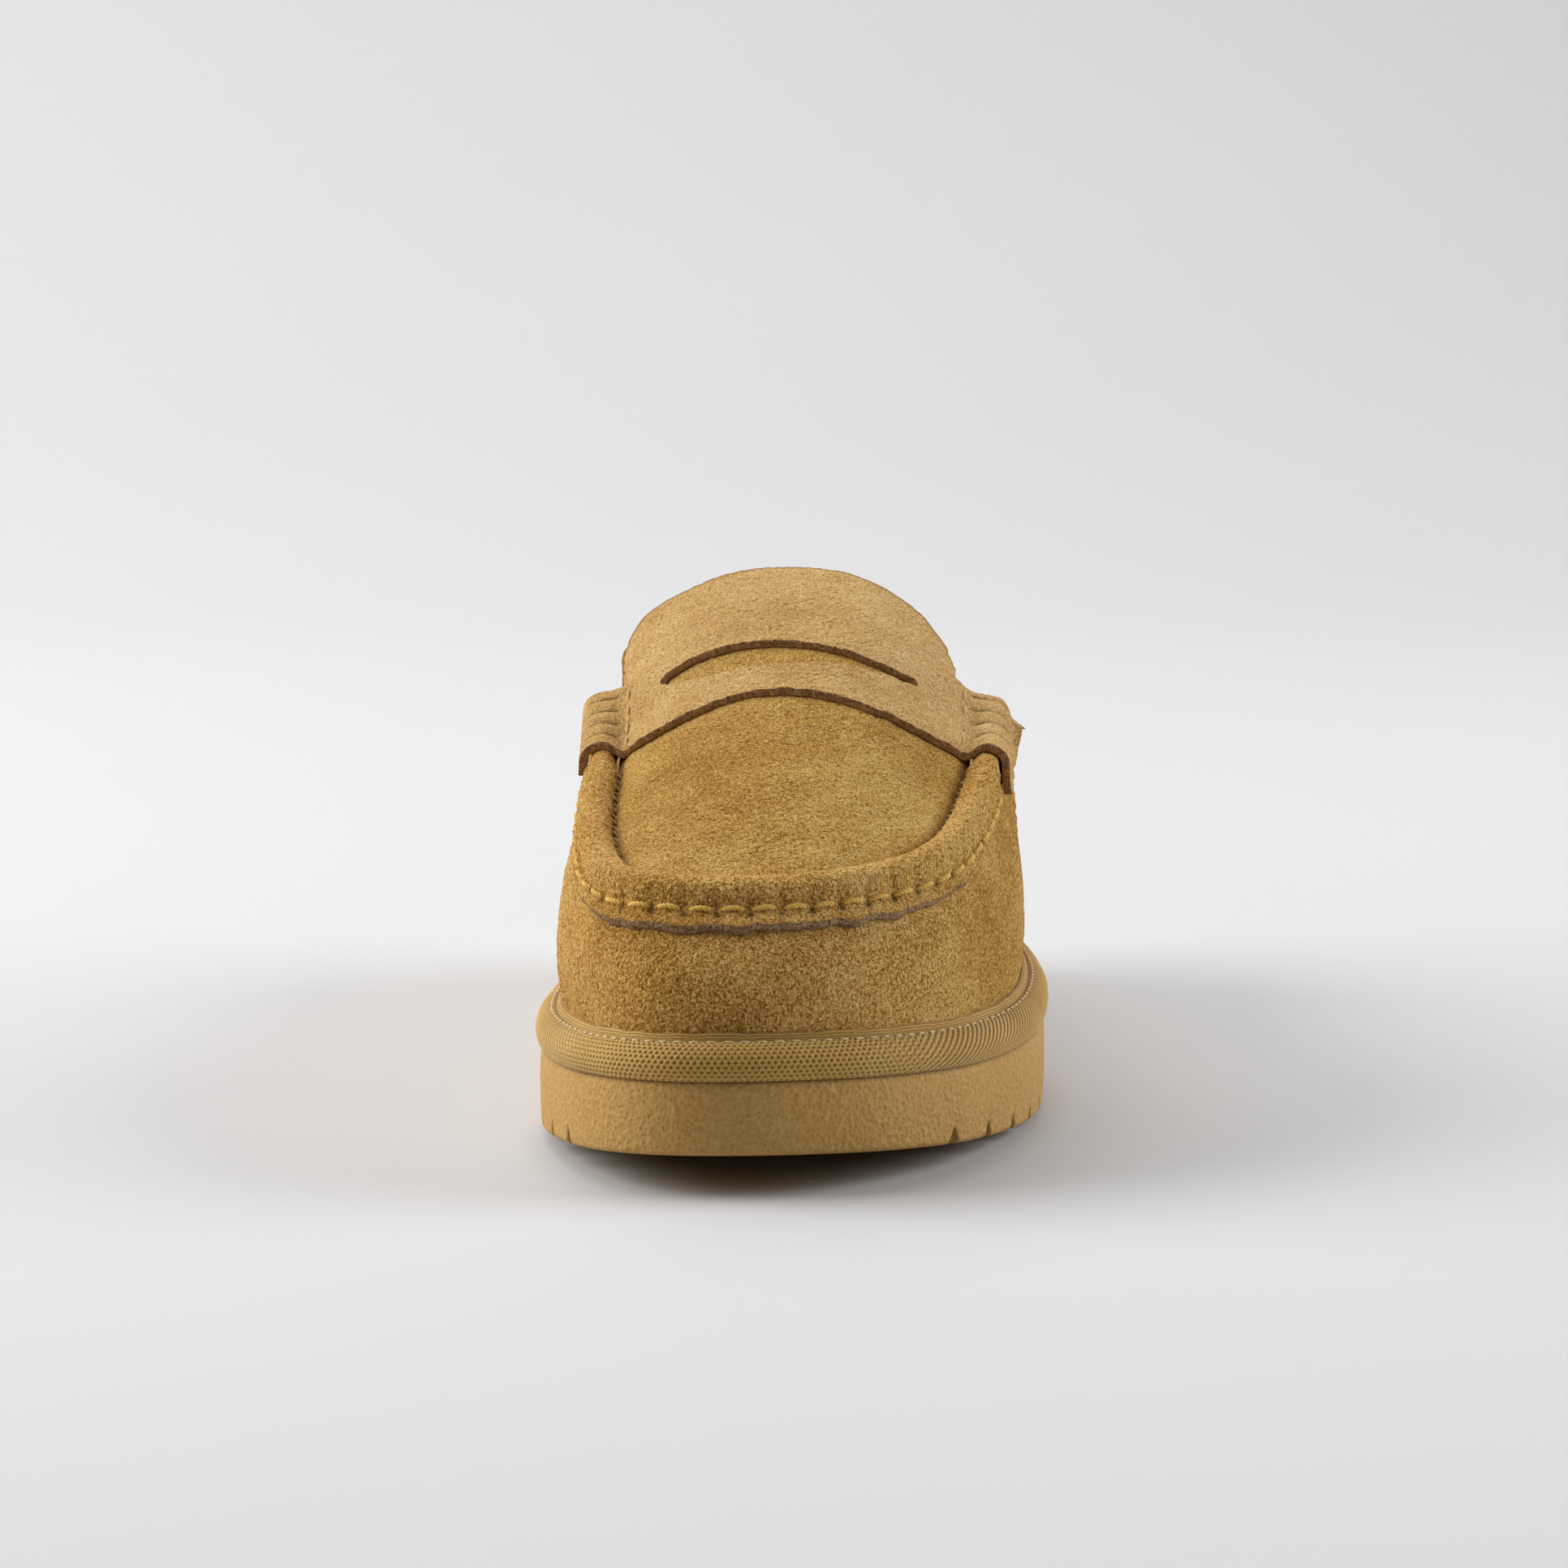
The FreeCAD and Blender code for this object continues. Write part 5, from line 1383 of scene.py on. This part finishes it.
def build_tongue():
    grid, back, around = tongue_grid(0.0, 0.0, 300, 620, wavy=0.28)
    x, dist = grid[..., 0], grid[..., 1]
    normal = instep_normal(x, dist)
    relief = suede_relief(grid, 191, soft=0.5, grain=0.085) + dimples(x, dist, TONGUE_DIMPLES)
    relief = relief * smooth(0.0, 0.12, back) * (1 - 0.6 * smooth(0.90, 1.0, back))
    outer = push(grid, normal, relief * (1 - smooth(123, 120.5, dist)))
    # the underside stands out past the top so that the raw edge shows all round
    wide = tongue_grid(0.0, -0.95, 300, 620)[0]
    reach = smooth(0.80, 1.0, back) * smooth(0.10, 0.20, np.minimum(around, 1 - around))
    inner = push(grid, wide - grid, reach) - normal * 1.75
    blend_tongue(sheet_piece(
        "tongue_suede", outer, inner, [SUEDE_LIT_TOP, CUT_EDGE], "tongue",
        rim=smooth(0.955, 0.985, back), bulge=0.25, rides=False))


def build_tongue_lining():
    grid = tongue_grid(-2.0, 1.2, 80, 160)[0]
    normal = instep_normal(grid[..., 0], grid[..., 1])
    inner = push(grid, normal, -(0.95 + 0.1 * noise(grid, 14, 195)))
    blend_tongue(sheet_piece("tongue_lining_leather", grid, inner, [LINING], "tongue_lining",
                             bulge=0.1, rides=False))


# ------------------------------------------------------------------ woven platform cover
# Sections from the foot to the top of the lip: (mm out from the sole outline, mm above
# the platform's top).
COVER_OUTER = [(-2.2, 0.9), (-0.3, 0.12), (0.78, 1.9), (0.75, 4.2), (-0.75, 6.45),
               (-2.15, 7.35), (-3.2, 7.7), (-4.25, 9.3)]
COVER_INNER = [(-2.5, 1.7), (-0.9, 1.0), (-0.05, 2.3), (-0.1, 4.1), (-1.35, 5.85),
               (-2.7, 6.6), (-3.9, 6.95), (-4.95, 9.15)]
LIP_WIDTH = 1.9
WEAVE_ROW, WEAVE_COLUMN = 0.98, 1.36          # yarn pitches up and along the cover
TOE_CENTRE = 0.487                            # share of the outline at the weave's front
SOLE_SHARES = np.linspace(0, 1, 8001)
SOLE_ARC = arc_lengths(SOLE(SOLE_SHARES))


def even_profile(section, samples):
    """Section curve at even spacing, and the arc length of each sample."""
    flat = np.array(section)
    curve = control_spline(with_height(flat, np.zeros(len(flat)))[None], 3000)[0]
    length = arc_lengths(curve)
    even = np.linspace(0, length[-1], samples)
    return np.stack([np.interp(even, length, curve[:, axis]) for axis in (0, 1)], -1), even


def weave(arc, up, hand):
    """Height and painted shade of the weave; hand is 1 or -1 on either side of the toe."""
    lip_start, girth = up[-1] - LIP_WIDTH, SOLE_ARC[-1]
    columns = arc / girth * round(girth / WEAVE_COLUMN)
    column, row = np.meshgrid(columns, up / WEAVE_ROW, indexing="ij")
    front = np.exp(-((arc - girth * TOE_CENTRE) / 48.0) ** 4)[:, None]
    row_index = np.floor(row)
    row_part = row - row_index
    stagger = column + row_index * np.where(front > 0.5, 0.5, 0.27 * hand)
    cell = stagger - np.floor(stagger)
    yarn = ((0.55 + 0.45 * np.sin(math.pi * row_part) ** 0.6)
            * (0.35 + 0.65 * np.abs(np.cos(math.pi * cell)) ** 0.7))
    pit = bell(cell - 0.5, 0.30) * bell(row_part - 0.5, 0.24)
    # away from the toe the yarns slope as fine diagonal cords
    cord = np.abs(np.sin(math.pi * (column * 0.60 + row * 0.67 * hand))) ** 0.7
    face = (0.40 * (front * yarn + (1 - front) * (0.2 * yarn + 0.8 * cord))
            - 0.22 * front * pit)
    # painted shade in the pits between yarns and in the valleys between the cords
    face_shade = (pit * (0.12 + 0.88 * front)
                 + (1 - front) * np.clip((1 - cord) * 1.5, 0, 1) ** 1.2 * 0.95)
    # plain rows on the narrow lip
    lip = smooth(lip_start - 0.25, lip_start + 0.1, up)[None]
    lip_rows = np.abs(np.sin(math.pi * (up[None] - lip_start) / 0.62
                             + 0.35 * np.sin(TAU * arc[:, None] / 1.9)))
    # painted shade between the lip's rows
    lip_shade = np.clip((1 - lip_rows) * 1.3, 0, 1) ** 1.5 * 0.85
    tuck = bell(up - lip_start, 0.28)[None]
    height = face * (1 - lip) + 0.22 * lip_rows ** 0.7 * lip - 0.25 * tuck
    painted_shade = face_shade * (1 - lip) + lip_shade * lip
    # painted shade in the tuck below the lip and at the foot of the cover, next to the outsole
    painted_shade = np.clip(np.maximum(painted_shade, 0.55 * tuck), 0, 1)
    return height, np.maximum(painted_shade, 0.9 * (1 - smooth(0.9, 2.0, up))[None])


def build_platform_cover():
    rings, rows = count(3600), count(84)
    profile, up = even_profile(COVER_OUTER, rows)
    inner_profile = even_profile(COVER_INNER, rows)[0]
    arc = np.linspace(0, SOLE_ARC[-1], rings + 1)[:-1]
    along = np.interp(arc, SOLE_ARC, SOLE_SHARES)
    edge, outward = SOLE(along), SOLE.outward(along)
    base_z = platform_z(edge[:, 1])
    height, painted_shade = weave(arc, up, np.sign(TOE_CENTRE - along)[:, None])
    fade = smooth(0.0, 0.8, up) * (1 - 0.3 * smooth(up[-1] - 0.3, up[-1], up))
    height = height * fade[None]
    tangent = unit(np.gradient(profile, axis=0))
    wobble = 0.10 * line_noise(arc, 11, 201)[:, None]
    lip_wave = (0.18 * line_noise(arc, 4.0, 203)[:, None]
                * smooth(up[-1] - LIP_WIDTH, up[-1], up)[None])

    def swept(out, rise):
        return with_height(push(edge[:, None], outward[:, None], out),
                           base_z[:, None] + rise + lip_wave)

    outer = swept(profile[None, :, 0] + tangent[None, :, 1] * height + wobble * fade,
                  profile[None, :, 1] - tangent[None, :, 0] * height)
    inner = swept(inner_profile[None, :, 0], inner_profile[None, :, 1])
    sheet_piece("platform_cover_woven", outer, inner, [TAPE, TAPE], "platform_cover",
                painted_shade=painted_shade, closed=True, bulge=0.12)


def build_cover_thread():
    """Pale dashes along the foot of the lip."""
    stitches = round(SOLE_ARC[-1] / 3.8)
    pitch = SOLE_ARC[-1] / stitches
    paths = []
    for k in range(stitches):
        arc = np.linspace(k * pitch + 0.5, k * pitch + 2.6, 9)
        along = np.interp(arc, SOLE_ARC, SOLE_SHARES)
        edge = SOLE(along)
        paths.append(with_height(push(edge, SOLE.outward(along), -2.55 + 0.18 * arch(9)),
                                 platform_z(edge[:, 1]) + 7.70 + 0.10 * arch(9)))
    thread_piece("platform_cover_thread", paths, 0.24, THREAD_PALE, "platform_cover_stitching",
                 plies=0, sides=6)


# ------------------------------------------------------------------ outsole
def tread_cut(dist):
    """Height of the V-shaped grooves across the tread above the bottom face."""
    cut = np.zeros_like(dist)
    for k in range(TREAD_COUNT):
        off = np.abs(dist - (TREAD_FIRST + TREAD_PITCH * k)) / (TREAD_WIDTH / 2)
        cut = np.maximum(cut, TREAD_DEPTH * np.clip(1 - off, 0, 1))
    return cut


def sole_bottom(dist):
    dist = np.clip(dist, 0, LENGTH)
    toe = TOE_SPRING * np.clip(1 - dist / TOE_SPRING_LENGTH, 0, 1) ** 1.6
    bevel = np.maximum(dist - (LENGTH - HEEL_BEVEL_LENGTH), 0) / HEEL_BEVEL_LENGTH
    return toe + HEEL_BEVEL * bevel ** 2


def spine(dist, front, back):
    """Points (x, dist) on the line from toe to heel that the slabs close on."""
    dist = np.clip(dist, front, back)
    x = np.interp(dist, [0, 60, 120, 180, 240, 294], [-6, -1, 3, 3, 2.5, 1.5])
    return np.stack([x, dist], -1)


def build_outsole():
    """Sides with a rounded lower edge, then rings that shrink to the spine below and above."""
    corner_radius, side_rows = 1.5, count(26)
    along = np.linspace(0, 1, count(2200), endpoint=False)
    edge, outward = SOLE(along), SOLE.outward(along)
    top = platform_z(edge[:, 1])[:, None] + 0.02
    bottom = (sole_bottom(edge[:, 1]) + tread_cut(edge[:, 1]))[:, None]
    fall = np.linspace(0, 1, side_rows)
    corner = np.radians((15, 30, 45, 60, 75, 90))
    out = np.concatenate([-0.55 * np.exp(-14 * fall) + 0.28 * np.sin(math.pi * fall),
                          corner_radius * (np.cos(corner) - 1)])
    z = np.concatenate([top + (bottom + corner_radius - top) * fall,
                        bottom + corner_radius * (1 - np.sin(corner))], 1)
    sides = with_height(push(edge[:, None], outward[:, None], out[None]), z)
    down = np.concatenate([fall, np.ones(len(corner))])
    pebbles = (0.055 * (noise(sides, 0.85, 211) + 0.8 * noise(sides, 1.7, 212))
               + 0.10 * noise(sides, 24, 213))
    pebbles = pebbles * (1 - 0.2 * down)[None] * smooth(0, 0.06, down)[None]
    sides[..., :2] = push(sides[..., :2], outward[:, None], pebbles)
    rings, cols = sides.shape[:2]
    points, quads = [sides.reshape(-1, 3)], [grid_quads(rings, cols, 0, True)]
    total = rings * cols
    target = spine(edge[:, 1], 20, 274)

    def shrink(col, height_at, steps, order):
        nonlocal total
        start, previous = sides[:, col, :2], np.arange(rings) * cols + col
        for k in range(1, steps + 1):
            share = k / steps
            xy = start * (1 - share) + target * share
            points.append(with_height(xy, height_at(xy[:, 1])))
            current = np.arange(total, total + rings)
            total += rings
            quad = np.stack([previous, np.roll(previous, -1), np.roll(current, -1), current], -1)
            quads.append(quad[:, ::order])
            previous = current

    shrink(cols - 1, lambda dist: sole_bottom(dist) + tread_cut(dist), count(34), 1)
    shrink(0, platform_z, 6, -1)
    points = np.concatenate(points)
    # painted shade along the top of the sides under the platform cover, and in the tread grooves
    # near the bottom
    painted_shade = np.zeros(len(points))
    painted_shade[:rings * cols] = np.tile(0.85 * bell(down, 1 / 22.0), rings)
    low = smooth(5.2, 0.5, points[:, 2] - sole_bottom(points[:, 1]))
    painted_shade = np.maximum(painted_shade, 0.55 * tread_cut(points[:, 1]) / TREAD_DEPTH * low)
    close_on_spine(make_mesh("outsole_moulded", points, np.concatenate(quads), NO_TRIS, [RUBBER],
                             "outsole", attributes={"painted_shade": painted_shade},
                             turn_outward=False))


# ------------------------------------------------------------------ platform core
def slab(name, inset, low, high, material, replaces, rim=0.9, seed=0, soft=0.0):
    """Layer on the platform's top with rounded rims, from height low to high above it."""
    samples, steps = count(520), 24
    along = np.linspace(0, 1, samples, endpoint=False)
    edge, outward = SOLE(along), SOLE.outward(along)
    target = spine(edge[:, 1], 40, 262)
    rim = min(rim, (high - low) / 2)
    flat_edge = edge + (inset - rim) * outward
    rings = []

    def ring(xy, height):
        rings.append(with_height(xy, platform_z(xy[:, 1]) + height))

    def inward(k):
        return flat_edge * (1 - k / steps) + target * (k / steps)

    for k in range(steps, -1, -1):
        ring(inward(k), high)
    for angle in np.radians((30, 60, 90)):
        ring(edge + (inset - rim + rim * math.sin(angle)) * outward,
             high - rim + rim * math.cos(angle))
    for angle in np.radians((0, 30, 60, 90)):
        ring(edge + (inset - rim + rim * math.cos(angle)) * outward,
             low + rim - rim * math.sin(angle))
    for k in range(1, steps + 1):
        ring(inward(k), low)
    grid = np.stack(rings, 1)
    top = grid[:, :steps + 1]
    top[..., 2] += soft * noise(top, 18, seed) * np.linspace(1, 0.4, steps + 1)[None]
    close_on_spine(make_mesh(name, grid.reshape(-1, 3),
                             grid_quads(samples, grid.shape[1], 0, True), NO_TRIS, [material],
                             replaces, attributes={"painted_shade": np.zeros(grid[..., 0].size)}))


def build_platform_core():
    board = FOAM_HEIGHT + 0.1
    footbed = board + BOARD_THICK + 0.1
    cover = footbed + FOOTBED_THICK + 0.05
    slab("platform_foam_core", -4.4, 0.05, FOAM_HEIGHT - 0.2, FOAM, "platform_foam")
    slab("slip_sock_board", -8.4, board, board + BOARD_THICK, BOARD, "slip_sock",
         rim=0.4)
    slab("footbed_foam", -10.0, footbed, footbed + FOOTBED_THICK, FOAM, "footbed",
         rim=1.2)
    slab("footbed_cover_leather", -10.2, cover, cover + COVER_THICK, FOOTBED_LEATHER,
         "footbed_cover", rim=0.5, seed=221, soft=0.12)


# ------------------------------------------------------------------ fine stitching on the wall
def wall_stitches(along_at, face, rises, low, height):
    """Stitches up the wall; along_at(rise) places the row, face is the leather's height."""
    rise = np.linspace(*rises, 400)
    length = arc_lengths(wall_at(along_at(rise), rise, face))
    paths = []
    for k in range(int(length[-1] / FINE_PITCH)):
        arc = np.linspace(k * FINE_PITCH + 0.35, k * FINE_PITCH + 2.75, 9)
        part = np.interp(arc, length, rise)
        paths.append(wall_at(along_at(part), part, face + low + height * arch(9)))
    return paths


def build_wall_threads():
    paths = []
    for side in (-1, 1):
        for row in SEAM_ROWS:
            paths += wall_stitches(lambda rise: seam(side, rise) - side * row / PERIMETER,
                                   lap(row), rises=(0.09, 0.93), low=-0.38, height=0.50)
    thread_piece("side_seam_thread", paths, 0.30, THREAD_TAN, "side_seam_stitching",
                 twist=3.4, sides=6)
    paths = []
    for side in (-1, 1):
        paths += wall_stitches(lambda rise: side * strip_half_width(rise) * STRIP_STITCH,
                               STRIP_FACE, rises=(0.345, 0.955), low=-0.40, height=0.52)
    thread_piece("heel_strip_thread", paths, 0.30, THREAD_TAN, "heel_strip_stitching",
                 twist=3.4, sides=6)


# ------------------------------------------------------------------ floor, light and camera, metres
def build_sweep():
    """Paper sweep: flat floor, a quarter-round bend and an upright back."""
    half_width, front, back, rise, radius = 3.2, -3.0, 2.3, 2.6, 1.3
    flat = back - radius - front
    profile = [(front + flat * i / 24, 0.0) for i in range(25)]
    profile += [(back - radius + radius * math.sin(angle), radius - radius * math.cos(angle))
                for angle in np.linspace(0, math.pi / 2, 33)[1:]]
    profile += [(back, radius + rise * i / 6) for i in range(1, 7)]
    columns = np.linspace(-half_width, half_width, 41)
    points = [(x, y, z) for x in columns for y, z in profile]
    mesh = bpy.data.meshes.new("studio_sweep")
    mesh.from_pydata(points, [], grid_quads(len(columns), len(profile)).tolist())
    shade_smooth(mesh)
    sweep = bpy.data.objects.new("studio_sweep", mesh)
    bpy.context.scene.collection.objects.link(sweep)
    mesh.materials.append(speckled(
        "sweep_paper", srgb(198, 199, 201), srgb(201, 201, 203), scale=1.6, detail=3, grain=0.5,
        roughness=0.75, bump_distance=0))


def area_light(name, place, target, size, power, colour):
    light = bpy.data.lights.new(name, "AREA")
    light.shape = "RECTANGLE"
    light.size, light.size_y = size
    light.energy = power
    light.color = colour
    lamp = bpy.data.objects.new(name, light)
    bpy.context.scene.collection.objects.link(lamp)
    lamp.location = place
    aim = Vector(target) - Vector(place)
    lamp.rotation_euler = aim.to_track_quat("-Z", "Y").to_euler()


def build_lights():
    area_light("key_left", place=(-1.75, 0.12, 1.05), target=(0, -0.02, 0.05),
               size=(1.5, 1.3), power=47.0, colour=(1.0, 0.99, 0.97))
    area_light("top_soft", place=(-0.5, 0.92, 2.05), target=(0, 0.0, 0.0),
               size=(1.9, 2.4), power=36.0, colour=(1.0, 1.0, 1.0))
    area_light("fill_right", place=(1.7, 0.15, 0.9), target=(0, -0.02, 0.05),
               size=(1.4, 1.2), power=31.0, colour=(0.98, 0.99, 1.0))
    area_light("backdrop", place=(0.0, 0.9, 2.3), target=(0, 2.2, 0.9),
               size=(2.6, 1.6), power=0.6, colour=(0.98, 1.0, 1.0))
    surroundings = bpy.data.worlds.new("studio_world")
    bpy.context.scene.world = surroundings
    surroundings.use_nodes = True
    background = surroundings.node_tree.nodes["Background"]
    background.inputs["Color"].default_value = (1.0, 0.88, 0.76, 1)
    background.inputs["Strength"].default_value = 0.07


def build_camera():
    camera = bpy.data.cameras.new("camera")
    camera.lens = 123.95
    camera.sensor_width = 36.0
    camera.sensor_fit = "HORIZONTAL"
    camera.shift_x = -0.00518
    camera.clip_end = 30
    holder = bpy.data.objects.new("camera", camera)
    bpy.context.scene.collection.objects.link(holder)
    holder.location = (-0.001, -1.247, 0.235)
    holder.rotation_euler = (math.radians(90 - 7.65), 0, 0)     # tipped down 7.65 degrees
    bpy.context.scene.camera = holder
    # guards against a colour configuration that lacks these names
    try:
        bpy.context.scene.view_settings.view_transform = "Standard"
        bpy.context.scene.view_settings.look = "None"
    except TypeError:
        pass


build_vamp()
build_quarter("quarter_medial_suede", -1, "quarter_medial", seed=31)
build_quarter("quarter_lateral_suede", 1, "quarter_lateral", seed=47)
build_inner_sheets()
build_heel_strip()
build_collar_binding()
build_apron()
build_apron_lining()
build_rolled_seam()
build_seam_cord()
build_rolled_seam_thread()
build_strap()
build_strap_thread()
build_tongue()
build_tongue_lining()
build_platform_cover()
build_cover_thread()
build_outsole()
build_platform_core()
build_wall_threads()
build_sweep()
build_lights()
build_camera()
